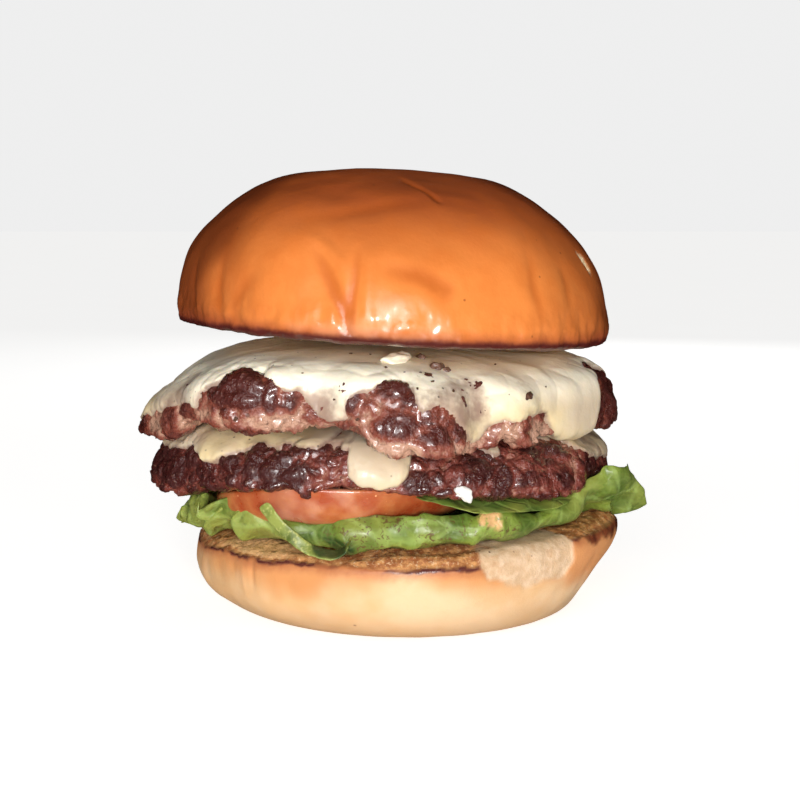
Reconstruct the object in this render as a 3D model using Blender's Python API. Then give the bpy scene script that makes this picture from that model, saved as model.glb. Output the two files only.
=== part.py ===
"""A double hamburger, one solid for each layer: crown, melted cheese over each of two patties, tomato,
three pieces of lettuce, a dab of sauce, and the heel of the bun.

Metres, +Z up. The origin is the middle of the flat foot under the heel. Angles run round the burger in
degrees: 0 faces -Y, 90 faces +X.
"""

import math

import bmesh
import bpy
import numpy as np
from mathutils import Vector, noise
from mathutils.bvhtree import BVHTree

MM = 0.001

# Driving dimensions
HEEL_HEIGHT = 22.8 * MM
PATTY_THICKNESS = 13.1 * MM
SLICE_ROOM = 2.5 * MM
CROWN_CUT = 68 * MM
CROWN_HEIGHT = 40 * MM

# Where each layer starts, before the stack sags
TOMATO_FLOOR = 29.7 * MM
TOMATO_TOP = 35.1 * MM
LOWER_PATTY_FLOOR = 36.6 * MM
LOWER_PATTY_TOP = LOWER_PATTY_FLOOR + PATTY_THICKNESS
UPPER_PATTY_FLOOR = LOWER_PATTY_TOP + SLICE_ROOM
UPPER_PATTY_TOP = UPPER_PATTY_FLOOR + PATTY_THICKNESS

# How the stack sits: the heel's cut rises to the right, and the crown's cut falls to the right
HEEL_LEAN = math.tan(math.radians(1.7))
LEAN = math.tan(math.radians(3.1))

# How far the layers between the buns droop at their rims: (angle, depth in millimetres)
SAG_RADIUS = 60 * MM
SAG = [
    (-150, 6.0), (-120, 6.8), (-90, 7.8), (-67, 6.9), (-50, 3.4), (-38, 1.8), (-24, 0.5), (-8, 0.6),
    (4, 1.6), (16, 2.6), (31, 4.3), (45, 5.6), (61, 6.6), (76, 5.4), (92, 5.0), (120, 5.6), (150, 5.0),
    (178, 5.6),
]

# How far the upper patty's rim slumps onto the lower one, as well
SLUMP_RADIUS = 55 * MM
SLUMP = [
    (-165, 1.5), (-130, 0.6), (-90, 3.4), (-69, 2.4), (-55, 1.2), (-32, 2.8), (-20, 2.2), (-10, 1.6),
    (0, 7.0), (23, 6.6), (30, 2.8), (41, 4.2), (60, 2.6), (76, 2.6), (92, 3.0), (125, 1.4), (160, 0.5),
]


def eased(angle, knots):
    """A closed curve round the burger through (angle, value) knots, each a smooth crest or hollow."""
    knots = sorted(knots)
    at = np.array([knots[-1][0] - 360] + [a for a, _ in knots] + [knots[0][0] + 360], float)
    value = np.array([knots[-1][1]] + [v for _, v in knots] + [knots[0][1]], float)
    angle = (np.asarray(angle, float) - at[1]) % 360 + at[1]
    k = np.clip(np.searchsorted(at, angle, side="right") - 1, 0, len(at) - 2)
    t = (angle - at[k]) / (at[k + 1] - at[k])
    return value[k] + (value[k + 1] - value[k]) * t * t * (3 - 2 * t)


def smooth(value, low, high):
    """0 below low, 1 above high, eased between them."""
    t = np.clip((value - low) / (high - low), 0, 1)
    return t * t * (3 - 2 * t)


def bump(angle, height, at_angle, at_height, half_angle, half_height):
    """1 at the middle of a rounded patch of the wall, and 0 away from it."""
    turn = (angle - at_angle + 180) % 360 - 180
    return np.exp(-((turn / half_angle) ** 2) - ((height - at_height) / half_height) ** 2)


def angle_of(points):
    return np.degrees(np.arctan2(points[:, 0], -points[:, 1]))


def around(angle, radius, height, centre=(0, 0)):
    """Points at these angles, radii and heights about an upright axis."""
    turn = np.radians(angle)
    height = height + 0 * turn
    return np.stack([centre[0] + radius * np.sin(turn), centre[1] - radius * np.cos(turn), height], axis=1)


def settle(points):
    """The layers' own heights, brought down by the stack's lean, sag and slump."""
    x, height = points[:, 0], points[:, 2]
    angle, reach = angle_of(points), np.hypot(x, points[:, 1])
    share = np.clip((height - HEEL_HEIGHT) / (LOWER_PATTY_FLOOR - HEEL_HEIGHT), 0, 1)
    above = np.clip((height - LOWER_PATTY_FLOOR) / (CROWN_CUT - LOWER_PATTY_FLOOR), 0, 1)
    sag = eased(angle, SAG) * MM * share * (reach / SAG_RADIUS) ** 3
    between = (LOWER_PATTY_TOP + UPPER_PATTY_FLOOR) / 2
    near = np.clip(1 - np.abs(height - between) / (between - LOWER_PATTY_FLOOR), 0, 1)
    slump = eased(angle, SLUMP) * MM * near * np.clip(reach / SLUMP_RADIUS, 0, 1) ** 5
    lean = HEEL_LEAN * (1 - share) - LEAN * above
    return np.stack([x, points[:, 1], height + lean * x - sag - slump], axis=1)


def rough(points, grain, seed):
    """Soft lumps from -1 to 1, about one grain across, the same on every run."""
    shift = Vector((seed * 3.7, seed * 1.9, seed * 5.3))
    return np.array([noise.noise(Vector(p) / grain + shift) for p in points])


def material(name, colour, roughness):
    made = bpy.data.materials.new(name)
    made.use_nodes = True
    shader = made.node_tree.nodes["Principled BSDF"]
    shader.inputs["Base Color"].default_value = (*colour, 1)
    shader.inputs["Roughness"].default_value = roughness
    return made


def turned(name, profile, segments):
    """A blank turned about +Z from a profile of (radius, height) pairs that starts on the axis."""
    shape = bmesh.new()
    line = [shape.verts.new((radius, 0, height)) for radius, height in profile]
    edges = [shape.edges.new(pair) for pair in zip(line, line[1:])]
    bmesh.ops.spin(
        shape,
        geom=line + edges,
        axis=(0, 0, 1),
        cent=(0, 0, 0),
        angle=2 * math.pi,
        steps=segments,
        use_merge=True,
    )
    bmesh.ops.remove_doubles(shape, verts=shape.verts, dist=1e-5)
    return finished(name, shape)


def strip(name, columns, rows):
    """A flat blank, x from 0 to 1 along its columns and y from 0 to 1 across its rows."""
    shape = bmesh.new()
    bmesh.ops.create_grid(shape, x_segments=columns, y_segments=rows, size=0.5)
    bmesh.ops.translate(shape, verts=shape.verts, vec=(0.5, 0.5, 0))
    return finished(name, shape)


def finished(name, shape):
    """The bmesh as a named object, its faces turned outward and shaded smooth."""
    bmesh.ops.recalc_face_normals(shape, faces=shape.faces)
    mesh = bpy.data.meshes.new(name)
    shape.to_mesh(mesh)
    shape.free()
    mesh.shade_smooth()
    piece = bpy.data.objects.new(name, mesh)
    bpy.context.scene.collection.objects.link(piece)
    return piece


def points_of(piece):
    found = np.zeros(len(piece.data.vertices) * 3)
    piece.data.vertices.foreach_get("co", found)
    return found.reshape(-1, 3)


def place(piece, points):
    piece.data.vertices.foreach_set("co", np.asarray(points).ravel())
    piece.data.update()


def normals_of(piece):
    return np.array([normal.vector for normal in piece.data.vertex_normals])


def thicken(piece, thickness, offset):
    """A sheet made solid, with both faces split into triangles alike."""
    piece.modifiers.new("Triangulate", "TRIANGULATE")
    solid = piece.modifiers.new("Solidify", "SOLIDIFY")
    solid.thickness = thickness
    solid.offset = offset
    solid.use_even_offset = False


def arc(start, end, count):
    """Angles in radians, evenly spaced and both ends included."""
    return [math.radians(start + (end - start) * k / (count - 1)) for k in range(count)]


# The crown: a tall glazed dome, squarer on its left, with a tucked rim and creased sides
CROWN_CENTRE = (-1.6 * MM, 0)
CROWN_RADIUS = 53.1 * MM
CROWN_FLANK = 5.5 * MM
CROWN_SEGMENTS = 60
CROWN_TUCK = 0.018
CROWN_TIP_BACK = 0.018
CROWN_SQUARENESS = 2.2
CROWN_SQUARER_RIGHT = 0.03
CROWN_CREASES = (
    # angle, share of the dome's height, half width in degrees, half height as a share, depth
    (-19, 0.22, 4.5, 0.34, 1.5 * MM),
    (-9, 0.10, 4.0, 0.30, 1.1 * MM),
    (12, 0.42, 9.0, 0.12, 0.7 * MM),
    (28, 0.10, 8.0, 0.22, 0.8 * MM),
    (-48, 0.12, 5.0, 0.30, 0.9 * MM),
    (-66, 0.15, 5.0, 0.35, 1.0 * MM),
    (55, 0.20, 6.0, 0.35, 0.9 * MM),
    (105, 0.12, 6.0, 0.35, 1.0 * MM),
    (150, 0.18, 7.0, 0.30, 1.1 * MM),
    (-150, 0.15, 6.0, 0.34, 1.0 * MM),
    (-112, 0.20, 7.0, 0.30, 0.9 * MM),
)
CROWN_DIMPLE = (9 * MM, -16 * MM, 8 * MM, 0.7 * MM)
CROWN_WAVE = 0.8 * MM
CROWN_WAVE_GRAIN = 26 * MM


def build_crown():
    under = [(0, -1), (0.5, -1), (0.88, -1), (0.965, -1)]
    flank = [(1, -0.8), (1, -0.4)]
    dome = [(math.cos(a), math.sin(a)) for a in arc(0, 90, 11)]
    crown = turned("crown", under + flank + dome, CROWN_SEGMENTS)
    blank = points_of(crown)
    angle, share, level = angle_of(blank), np.hypot(blank[:, 0], blank[:, 1]), blank[:, 2]
    power = 2 / (CROWN_SQUARENESS + CROWN_SQUARER_RIGHT * np.sin(np.radians(angle)))
    on_dome = level > 0
    rise = np.where(on_dome, np.clip(level, 0, 1) ** power, 0)
    reach = np.where(on_dome, np.clip(share, 0, 1) ** power, share * (1 - CROWN_TUCK * level**2))
    for at, height, half_angle, half_height, depth in CROWN_CREASES:
        reach -= depth / CROWN_RADIUS * bump(angle, rise, at, height, half_angle, half_height) * (share > 0.2)
    equator = CROWN_CUT + CROWN_FLANK
    height = np.where(on_dome, equator + (CROWN_HEIGHT - CROWN_FLANK) * rise, equator + CROWN_FLANK * level)
    placed = around(angle, CROWN_RADIUS * reach, height, CROWN_CENTRE)
    x, y, half, depth = CROWN_DIMPLE
    hollow = np.exp(-((placed[:, 0] - x) ** 2 + (placed[:, 1] - y) ** 2) / half**2)
    waves = rough(placed, CROWN_WAVE_GRAIN, 3) * CROWN_WAVE
    placed[:, 2] += np.where(on_dome, waves * rise - depth * hollow * (rise > 0.5), 0)
    placed[:, 2] -= LEAN * (placed[:, 0] - CROWN_CENTRE[0]) + CROWN_TIP_BACK * placed[:, 1]
    place(crown, placed)
    return crown


# The heel: a shallow bowl of bun on a small flat foot, cut flat on top, its crust torn off on one side
HEEL_PROFILE = (
    # radius and height in millimetres, from the foot up to the crust's edge and over the toasted cut
    (0, 0), (22, 0), (37, 0), (42, 1.6), (45.2, 4), (47.8, 6.8), (49.8, 10), (51.2, 13.8), (52, 18),
    (51.7, 20.2), (50, 22.3), (48, 22.8), (40, 22.8), (22, 22.8), (0, 22.8),
)
HEEL_SEGMENTS = 50
HEEL_SHIFT_HEIGHTS = (0, 2, 5, 8, 12, 15, 18, 23)
HEEL_SHIFTS = (3.4, 0.9, -0.5, -1.1, -0.7, 0.1, 1.1, 1.5)
HEEL_TEAR = (21, 51, 14 * MM, 1.1 * MM)
HEEL_FOLDS = (
    (-58, 7, 0.9 * MM), (-44, 5, 0.7 * MM), (-28, 6, 0.6 * MM), (84, 8, 0.8 * MM), (168, 9, 1.0 * MM),
)


def build_heel():
    heel = turned("heel", [(radius * MM, height * MM) for radius, height in HEEL_PROFILE], HEEL_SEGMENTS)
    blank = points_of(heel)
    angle, radius, height = angle_of(blank), np.hypot(blank[:, 0], blank[:, 1]), blank[:, 2]
    wall = smooth(radius, 38 * MM, 50 * MM) * smooth(height, 0.5 * MM, 4 * MM)
    for at, half, depth in HEEL_FOLDS:
        radius = radius - depth * wall * bump(angle, height, at, 11 * MM, half, 7 * MM)
    start, end, sill, depth = HEEL_TEAR
    torn = smooth(angle, start - 2, start + 2) * (1 - smooth(angle, end - 2, end + 2))
    radius = radius - depth * torn * smooth(height, sill - MM, sill + MM) * smooth(radius, 46 * MM, 49 * MM)
    placed = around(angle, radius, height)
    placed[:, 0] += np.interp(height / MM, HEEL_SHIFT_HEIGHTS, HEEL_SHIFTS) * MM
    placed[:, 2] += HEEL_LEAN * placed[:, 0] * np.clip(height / HEEL_HEIGHT, 0, 1)
    place(heel, placed)
    return heel


# The patties: loosely packed minced beef, each chunk of the rim a swelling of its wall
SLICE_SEGMENTS = 72
PATTY_SQUARENESS = 0.27
PATTY_STEEPNESS = 0.62
PATTY_GRAIN = 11 * MM
PATTY_LUMP_OUT = 1.6 * MM
PATTY_LUMP_UP = 0.9 * MM
PATTY_TURNS = (-90, -86, -75, -54, -34, -16, 0, 16, 34, 54, 75, 86, 90)
UPPER = {
    "name": "patty_upper",
    "centre": (-5.75 * MM, 0),
    "floor": UPPER_PATTY_FLOOR,
    "outline": [
        (-165, 57), (-135, 55), (-110, 57), (-90, 57.5), (-70, 56), (-54, 54.5), (-33, 56), (-14, 53),
        (6, 55.5), (18, 55.5), (28, 52), (37, 54), (50, 52), (66, 54), (88, 58), (106, 55), (130, 57),
        (156, 55.5),
    ],
    "rim": [(-165, 6.3), (-90, 3.3), (-60, 4.8), (-33, 6.4), (0, 6.5), (45, 6.4), (90, 5.6), (135, 6.3)],
    "chunks": (
        # angle, height from the patty's middle, half angle, half height, push
        (-33, 0.5 * MM, 13, 6 * MM, 3.0 * MM),
        (-40, -4 * MM, 9, 4 * MM, 1.5 * MM),
        (3, -3.5 * MM, 12, 5 * MM, 3.2 * MM),
        (15, -5 * MM, 10, 3.5 * MM, 2.6 * MM),
        (8, 3 * MM, 7, 3 * MM, 2.0 * MM),
        (7, -6 * MM, 16, 3 * MM, 3.2 * MM),
        (-15, -1 * MM, 4, 8 * MM, -2.2 * MM),
        (27, 1 * MM, 4, 8 * MM, -2.0 * MM),
        (37, -3 * MM, 8, 4.5 * MM, 2.6 * MM),
        (53, -4 * MM, 7, 4 * MM, -1.5 * MM),
        (-88, -1.5 * MM, 12, 4 * MM, 2.6 * MM),
        (86, -2.5 * MM, 13, 5 * MM, 3.0 * MM),
        (118, -2 * MM, 12, 5 * MM, 2.6 * MM),
        (150, 1 * MM, 12, 5 * MM, 2.2 * MM),
        (-172, -2 * MM, 12, 5 * MM, 2.8 * MM),
        (-140, -1 * MM, 13, 5 * MM, 2.4 * MM),
        (-116, 1 * MM, 8, 5 * MM, 1.6 * MM),
    ),
    "tip": (-90, 34, 5 * MM),
    "seed": 1,
}
LOWER = {
    "name": "patty_lower",
    "centre": (-4 * MM, 0),
    "floor": LOWER_PATTY_FLOOR,
    "outline": [
        (-160, 56), (-130, 54.5), (-105, 57), (-88, 58), (-66, 55), (-50, 53.5), (-38, 55), (-27, 52.5),
        (-16, 54), (0, 51.5), (20, 53), (34, 52), (48, 54), (66, 53.5), (88, 54.5), (110, 54), (140, 56),
        (165, 54),
    ],
    "rim": [(-165, 6.3), (-90, 6.3), (-45, 6.2), (0, 6), (45, 6.2), (90, 6.2), (135, 6.3)],
    "chunks": (
        (-74, -1 * MM, 11, 5 * MM, 2.4 * MM),
        (-49, -2 * MM, 9, 4.5 * MM, 2.8 * MM),
        (-33, -3.4 * MM, 8, 4.5 * MM, 3.0 * MM),
        (-24, -3 * MM, 6, 4 * MM, 2.4 * MM),
        (-41, -1 * MM, 3.5, 6 * MM, -1.6 * MM),
        (-2, -3 * MM, 12, 3.5 * MM, 1.8 * MM),
        (18, -1 * MM, 9, 5 * MM, 2.4 * MM),
        (29, 0, 4, 6 * MM, -1.5 * MM),
        (40, -1 * MM, 10, 5 * MM, 2.8 * MM),
        (58, 0, 9, 5 * MM, 2.0 * MM),
        (84, 1 * MM, 10, 5 * MM, 2.0 * MM),
        (112, -2 * MM, 11, 5 * MM, 2.6 * MM),
        (138, 0, 10, 5 * MM, 2.2 * MM),
        (164, -2 * MM, 11, 5 * MM, 2.6 * MM),
        (-160, -1 * MM, 11, 5 * MM, 2.4 * MM),
        (-130, -2 * MM, 12, 5 * MM, 2.6 * MM),
        (-104, 1 * MM, 9, 5 * MM, 1.8 * MM),
    ),
    "tip": (-90, 26, 0),
    "seed": 2,
}


def patty_wall(patty, angle, turn):
    """Points of a patty's skin: turn is -90 under its middle, 0 at its rim and 90 on top of its middle."""
    turn = np.radians(turn)
    share = np.clip(np.cos(turn), 0, 1) ** PATTY_SQUARENESS
    level = np.sign(np.sin(turn)) * np.abs(np.sin(turn)) ** PATTY_STEEPNESS
    at_rim = smooth(share, 0.55, 0.88)
    half = PATTY_THICKNESS / 2 + (eased(angle, patty["rim"]) * MM - PATTY_THICKNESS / 2) * at_rim
    above = half * level
    radius = share * eased(angle, patty["outline"]) * MM
    for at, height, half_angle, half_height, push in patty["chunks"]:
        radius = radius + push * at_rim * bump(angle, above, at, height, half_angle, half_height)
    middle = patty["floor"] + PATTY_THICKNESS / 2
    points = around(angle, radius, middle + above, patty["centre"])
    lumps = rough(points, PATTY_GRAIN, patty["seed"]) * at_rim
    points[:, 0] += PATTY_LUMP_OUT * lumps * np.sin(np.radians(angle))
    points[:, 1] -= PATTY_LUMP_OUT * lumps * np.cos(np.radians(angle))
    points[:, 2] += PATTY_LUMP_UP * lumps * level * smooth(share, 0.85, 1)
    at, half_angle, drop = patty["tip"]
    tip = drop * smooth(share, 0.62, 1.0) * bump(angle, 0, at, 0, half_angle, 1)
    points = settle(points)
    points[:, 2] -= tip
    return points


def build_patty(patty):
    profile = [(math.cos(math.radians(t)), math.sin(math.radians(t))) for t in PATTY_TURNS]
    made = turned(patty["name"], profile, SLICE_SEGMENTS)
    blank = points_of(made)
    turn = np.degrees(np.arctan2(blank[:, 2], np.hypot(blank[:, 0], blank[:, 1])))
    place(made, patty_wall(patty, angle_of(blank), turn))
    return made


# The cheese: a melted slice over each patty, hanging in lobes between the chunks of its rim
CHEESE_THICKNESS = 1.3 * MM
CHEESE_LIFT = 0.7 * MM
CHEESE_CLEARANCE = 0.55 * MM
CHEESE_RINGS = (0, 0.03, 0.1, 0.25, 0.45, 0.65, 0.85, 1)
DRAPE_ROUNDS = 14
UPPER_HEM = [
    # angle, height of the hem in millimetres above the foot
    (-165, 50), (-150, 56), (-132, 48), (-112, 53), (-90, 49.5), (-68, 50.5), (-56, 54), (-48, 53.5),
    (-43, 60.5), (-37, 64.5), (-27, 65), (-20, 61.5), (-16, 53.5), (-9, 52.8), (-5, 58), (0, 62), (7, 62.5),
    (13, 57.5), (18, 54), (24, 47.5), (30, 51.8), (40, 52.8), (47, 48.5), (53, 45.6), (60, 45.2), (67, 54),
    (74, 60), (86, 60), (98, 51), (111, 48.5), (126, 56), (144, 49), (158, 55), (178, 57),
]
LOWER_HEM = [
    (-168, 42), (-146, 38), (-120, 42), (-100, 39), (-78, 41), (-61, 42), (-52, 40.4), (-45, 43.5),
    (-33, 45.6), (-26, 46), (-18, 47), (-12, 46), (-8, 40.6), (0, 39), (4, 40), (8, 46), (28, 46), (48, 45),
    (64, 43), (78, 40.5), (92, 38.5), (106, 42), (124, 37.5), (146, 42),
]
HEM_LIMITS = (-26, 46)


def turn_at(patty, angle, height):
    """How far round a patty's skin the slice hangs to reach a height, at each angle, as the skin's turn."""
    turns = np.arange(-80, 81, 8.0)
    heights = np.stack([patty_wall(patty, angle, np.full(len(angle), turn))[:, 2] for turn in turns], axis=1)
    under = heights < height[:, None]
    under[:, 0] = True
    last = np.clip(len(turns) - 1 - np.argmax(under[:, ::-1], axis=1), 0, len(turns) - 2)
    row = np.arange(len(angle))
    low, high = heights[row, last], heights[row, last + 1]
    return turns[last] + (turns[1] - turns[0]) * np.clip((height - low) / (high - low), 0, 1)


def drape(sheet, body):
    """Lifts the sheet off the body wherever the middle of a side or of a facet comes too close to it."""
    shape = bmesh.new()
    shape.from_mesh(body.data)
    tree = BVHTree.FromBMesh(shape)
    shape.free()
    groups = [list(part.vertices) for part in (*sheet.data.edges, *sheet.data.polygons)]
    for _ in range(DRAPE_ROUNDS):
        points = points_of(sheet)
        push, count = np.zeros_like(points), np.zeros((len(points), 1))
        for group in groups:
            middle = Vector(points[group].mean(axis=0))
            near, normal, _, _ = tree.find_nearest(middle)
            depth = CHEESE_CLEARANCE - (middle - near).dot(normal)
            if depth > 0:
                push[group] += np.array(normal) * depth
                count[group] += 1
        place(sheet, points + push / np.maximum(count, 1))


def build_cheese(name, patty, body, hem):
    slice_blank = turned(name, [(ring, 0) for ring in CHEESE_RINGS], SLICE_SEGMENTS)
    shape = bmesh.new()
    shape.from_mesh(slice_blank.data)
    bmesh.ops.triangulate(shape, faces=shape.faces)
    shape.to_mesh(slice_blank.data)
    shape.free()
    blank = points_of(slice_blank)
    angle, share = angle_of(blank), np.hypot(blank[:, 0], blank[:, 1])
    lowest = np.clip(turn_at(patty, angle, eased(angle, hem) * MM), *HEM_LIMITS)
    place(slice_blank, patty_wall(patty, angle, 90 - (90 - lowest) * share))
    if normals_of(slice_blank)[:, 2].mean() < 0:
        slice_blank.data.flip_normals()
    place(slice_blank, points_of(slice_blank) + normals_of(slice_blank) * CHEESE_LIFT)
    drape(slice_blank, body)
    thicken(slice_blank, CHEESE_THICKNESS, 1)
    return slice_blank


# The tomato: an end slice, its skin curving in under it
TOMATO_CENTRE = (-12 * MM, -19 * MM)
TOMATO_RADIUS = 32 * MM
TOMATO_FOOT = 0.64
TOMATO_SEGMENTS = 36
TOMATO_CUT_RISE = 1.02
TOMATO_LOBES = 5
TOMATO_LOBE_DEPTH = 0.018
TOMATO_LOBE_TURN = 40


def build_tomato():
    thickness = (TOMATO_TOP - TOMATO_FLOOR) / TOMATO_RADIUS
    skin = []
    for turn in arc(0, 90, 5):
        skin.append((TOMATO_FOOT + (1 - TOMATO_FOOT) * math.sin(turn), thickness * (1 - math.cos(turn))))
    cut = [(share, thickness * TOMATO_CUT_RISE) for share in (0.97, 0.5, 0)]
    profile = [(0, 0), (0.45, 0)] + skin + cut
    tomato = turned("tomato", profile, TOMATO_SEGMENTS)
    blank = points_of(tomato)
    angle, share = angle_of(blank), np.hypot(blank[:, 0], blank[:, 1])
    lobes = 1 + TOMATO_LOBE_DEPTH * np.cos(np.radians(TOMATO_LOBES * angle + TOMATO_LOBE_TURN))
    height = TOMATO_FLOOR + blank[:, 2] * TOMATO_RADIUS
    place(tomato, settle(around(angle, TOMATO_RADIUS * share * lobes, height, TOMATO_CENTRE)))
    return tomato


# The lettuce: a leaf over the heel whose rim curls up, folds back in front and flares on the right
LEAF_THICKNESS = 0.7 * MM
LEAF_SEGMENTS = 80
LEAF_RINGS = (0, 0.3, 0.5, 0.62, 0.7, 0.78, 0.86, 0.93, 1)
LEAF_BED = HEEL_HEIGHT + 0.9 * MM
LEAF_CURL_START = [
    (-180, 46), (-120, 46), (-60, 45.5), (-42, 46.5), (-28, 48), (0, 48.3), (20, 48.5), (46, 47), (62, 44),
    (76, 43), (84, 44), (92, 45), (120, 46),
]
LEAF_CURL_LENGTH = [
    (-180, 11), (-120, 12), (-90, 13), (-60, 13.5), (-45, 10), (-28, 7.5), (-16, 9.5), (-2, 11.5), (10, 9),
    (24, 10.5), (38, 8.5), (50, 10), (60, 17), (69, 29), (74, 31), (80, 23), (86, 16.5), (92, 15.5),
    (100, 13), (150, 11),
]
LEAF_CURL_TURN = [
    (-180, 56), (-120, 56), (-90, 52), (-60, 74), (-44, 110), (-28, 172), (46, 172), (60, 128), (69, 106),
    (74, 100), (80, 62), (86, -3), (92, -3), (100, 16), (118, 50), (140, 56),
]
LEAF_FRILL = [(-180, 1), (-60, 0.9), (-42, 0.4), (-26, 0), (52, 0), (74, 0.1), (92, 0.1), (116, 1)]
LEAF_FRILL_WAVES = 13
LEAF_FRILL_TURN = 46
LEAF_RIPPLE = 0.25 * MM
LEAF_RIPPLES = 9


def build_leaf():
    leaf = turned("lettuce_leaf", [(ring, 0) for ring in LEAF_RINGS], LEAF_SEGMENTS)
    blank = points_of(leaf)
    angle, share = angle_of(blank), np.hypot(blank[:, 0], blank[:, 1])
    frill = eased(angle, LEAF_FRILL)
    phase = np.radians(LEAF_FRILL_WAVES * angle) + 1.6 * np.sin(np.radians(2 * angle))
    start = eased(angle, LEAF_CURL_START) * MM
    length = eased(angle, LEAF_CURL_LENGTH) * MM * (1 + 0.07 * frill * np.sin(phase * 0.6))
    turn = np.radians(eased(angle, LEAF_CURL_TURN) + LEAF_FRILL_TURN * frill * np.sin(phase))
    turn = np.where(np.abs(turn) < 0.02, 0.02, turn)
    along = np.clip(share - 0.5, 0, None) / 0.5
    radius = start * np.clip(share / 0.5, 0, 1) + length * np.sin(turn * along) / turn
    rise = length * (1 - np.cos(turn * along)) / turn
    flat_part = smooth(share, 0.2, 0.5) * (1 - smooth(share, 0.5, 0.7))
    ripple = LEAF_RIPPLE * np.sin(np.radians(LEAF_RIPPLES * angle)) * flat_part
    place(leaf, settle(around(angle, radius, LEAF_BED + ripple + rise)))
    thicken(leaf, LEAF_THICKNESS, 0)
    return leaf


# A second leaf pokes out under the lower patty, on the right
FLAP_ANGLES = (3, 59)
FLAP_RADII = (27 * MM, 53.5 * MM)
FLAP_HEIGHT = 35.75 * MM
FLAP_DROOP = 1.7 * MM
FLAP_WAVE = 0.6 * MM
FLAP_WAVES = 14


def build_flap():
    flap = strip("lettuce_flap", 14, 4)
    blank = points_of(flap)
    angle = FLAP_ANGLES[0] + (FLAP_ANGLES[1] - FLAP_ANGLES[0]) * blank[:, 0]
    ends = np.sin(np.pi * np.clip(blank[:, 0], 0, 1)) ** 0.4
    outer = FLAP_RADII[0] + (FLAP_RADII[1] - FLAP_RADII[0]) * (0.68 + 0.32 * ends)
    radius = FLAP_RADII[0] + (outer - FLAP_RADII[0]) * blank[:, 1]
    droop = smooth(radius, 45.5 * MM, 53.5 * MM)
    wave = FLAP_WAVE * np.sin(np.radians(FLAP_WAVES * angle)) * droop
    height = FLAP_HEIGHT - FLAP_DROOP * droop + wave
    place(flap, settle(around(angle, radius, height)))
    thicken(flap, LEAF_THICKNESS * 0.8, 0)
    return flap


# A loose strip of leaf curls down in front of the tomato and back up under the fold
CURL_PATH = (
    # angle, radius, height, and how far the strip is turned from upright to lying
    (-32.0, 57.5, 34.0, 0.0), (-29.5, 57.4, 31.4, 0.0), (-26.8, 57.2, 28.6, 0.15), (-24.0, 57.0, 25.9, 0.4),
    (-21.0, 56.8, 23.8, 0.7), (-17.8, 56.6, 22.6, 0.95), (-14.8, 56.4, 22.7, 1.0), (-12.6, 56.2, 24.0, 1.0),
    (-11.8, 56.0, 25.8, 1.0),
)
CURL_WIDTH = 3.6 * MM
CURL_TIP_WIDTH = 2.6 * MM
CURL_TWIST = 0.7
CURL_DISH = 0.45


def build_curl():
    curl = strip("lettuce_curl", 16, 2)
    blank = points_of(curl)
    knots = np.linspace(0, 1, len(CURL_PATH))
    path = np.array(CURL_PATH)
    angle, radius, height, lying = (np.interp(blank[:, 0], knots, path[:, k]) for k in range(4))
    width = CURL_TIP_WIDTH + (CURL_WIDTH - CURL_TIP_WIDTH) * lying
    across = (blank[:, 1] - 0.5) * width
    inward = blank[:, 1] * width * lying
    turn = np.degrees(across * (1 - lying) / (radius * MM))
    placed = around(angle + turn, radius * MM - inward, height * MM)
    placed[:, 2] += across * (1 - lying) * CURL_TWIST + inward * CURL_DISH
    place(curl, placed)
    thicken(curl, LEAF_THICKNESS, 0)
    return curl


# A dab of white sauce squeezed out under the lower patty
DAB_ANGLE = 15
DAB_RADIUS = 56 * MM
DAB_HEIGHT = 37.2 * MM
DAB_SIZE = (2.7 * MM, 1.4 * MM, 2.0 * MM)
DAB_TILT = 0.35


def build_dab():
    profile = [(math.cos(a), math.sin(a)) for a in arc(-90, 90, 7)]
    dab = turned("sauce_dab", profile, 12)
    blank = points_of(dab) * DAB_SIZE
    blank[:, 2] -= DAB_TILT * blank[:, 0]
    turn = math.radians(DAB_ANGLE)
    x = blank[:, 0] * math.cos(turn) - blank[:, 1] * math.sin(turn)
    y = blank[:, 0] * math.sin(turn) + blank[:, 1] * math.cos(turn)
    centre = around(np.array([DAB_ANGLE]), DAB_RADIUS, DAB_HEIGHT)[0]
    place(dab, np.stack([x, y, blank[:, 2]], axis=1) + centre)
    return dab


def main():
    for old in list(bpy.data.objects):
        bpy.data.objects.remove(old)
    crust = material("glazed_crust", (0.62, 0.22, 0.05), 0.35)
    pale_crust = material("pale_crust", (0.80, 0.52, 0.24), 0.55)
    beef = material("seared_beef", (0.19, 0.07, 0.05), 0.5)
    cheese = material("melted_cheese", (0.78, 0.70, 0.52), 0.4)
    tomato = material("tomato", (0.70, 0.12, 0.04), 0.3)
    lettuce = material("lettuce", (0.23, 0.42, 0.06), 0.45)
    sauce = material("white_sauce", (0.85, 0.83, 0.76), 0.3)
    upper_patty, lower_patty = build_patty(UPPER), build_patty(LOWER)
    made = {
        build_crown(): crust,
        build_heel(): pale_crust,
        upper_patty: beef,
        lower_patty: beef,
        build_cheese("cheese_upper", UPPER, upper_patty, UPPER_HEM): cheese,
        build_cheese("cheese_lower", LOWER, lower_patty, LOWER_HEM): cheese,
        build_tomato(): tomato,
        build_leaf(): lettuce,
        build_flap(): lettuce,
        build_curl(): lettuce,
        build_dab(): sauce,
    }
    for piece, finish in made.items():
        piece.data.materials.append(finish)


main()
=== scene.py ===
"""The looks of a double hamburger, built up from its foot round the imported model. Metres, +Z up; angles run
round the burger in degrees, 0 facing -Y and 90 facing +X."""

import math
from collections import namedtuple

import bmesh
import bpy
import numpy as np
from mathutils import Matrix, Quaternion, Vector, noise
from mathutils.bvhtree import BVHTree


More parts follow.
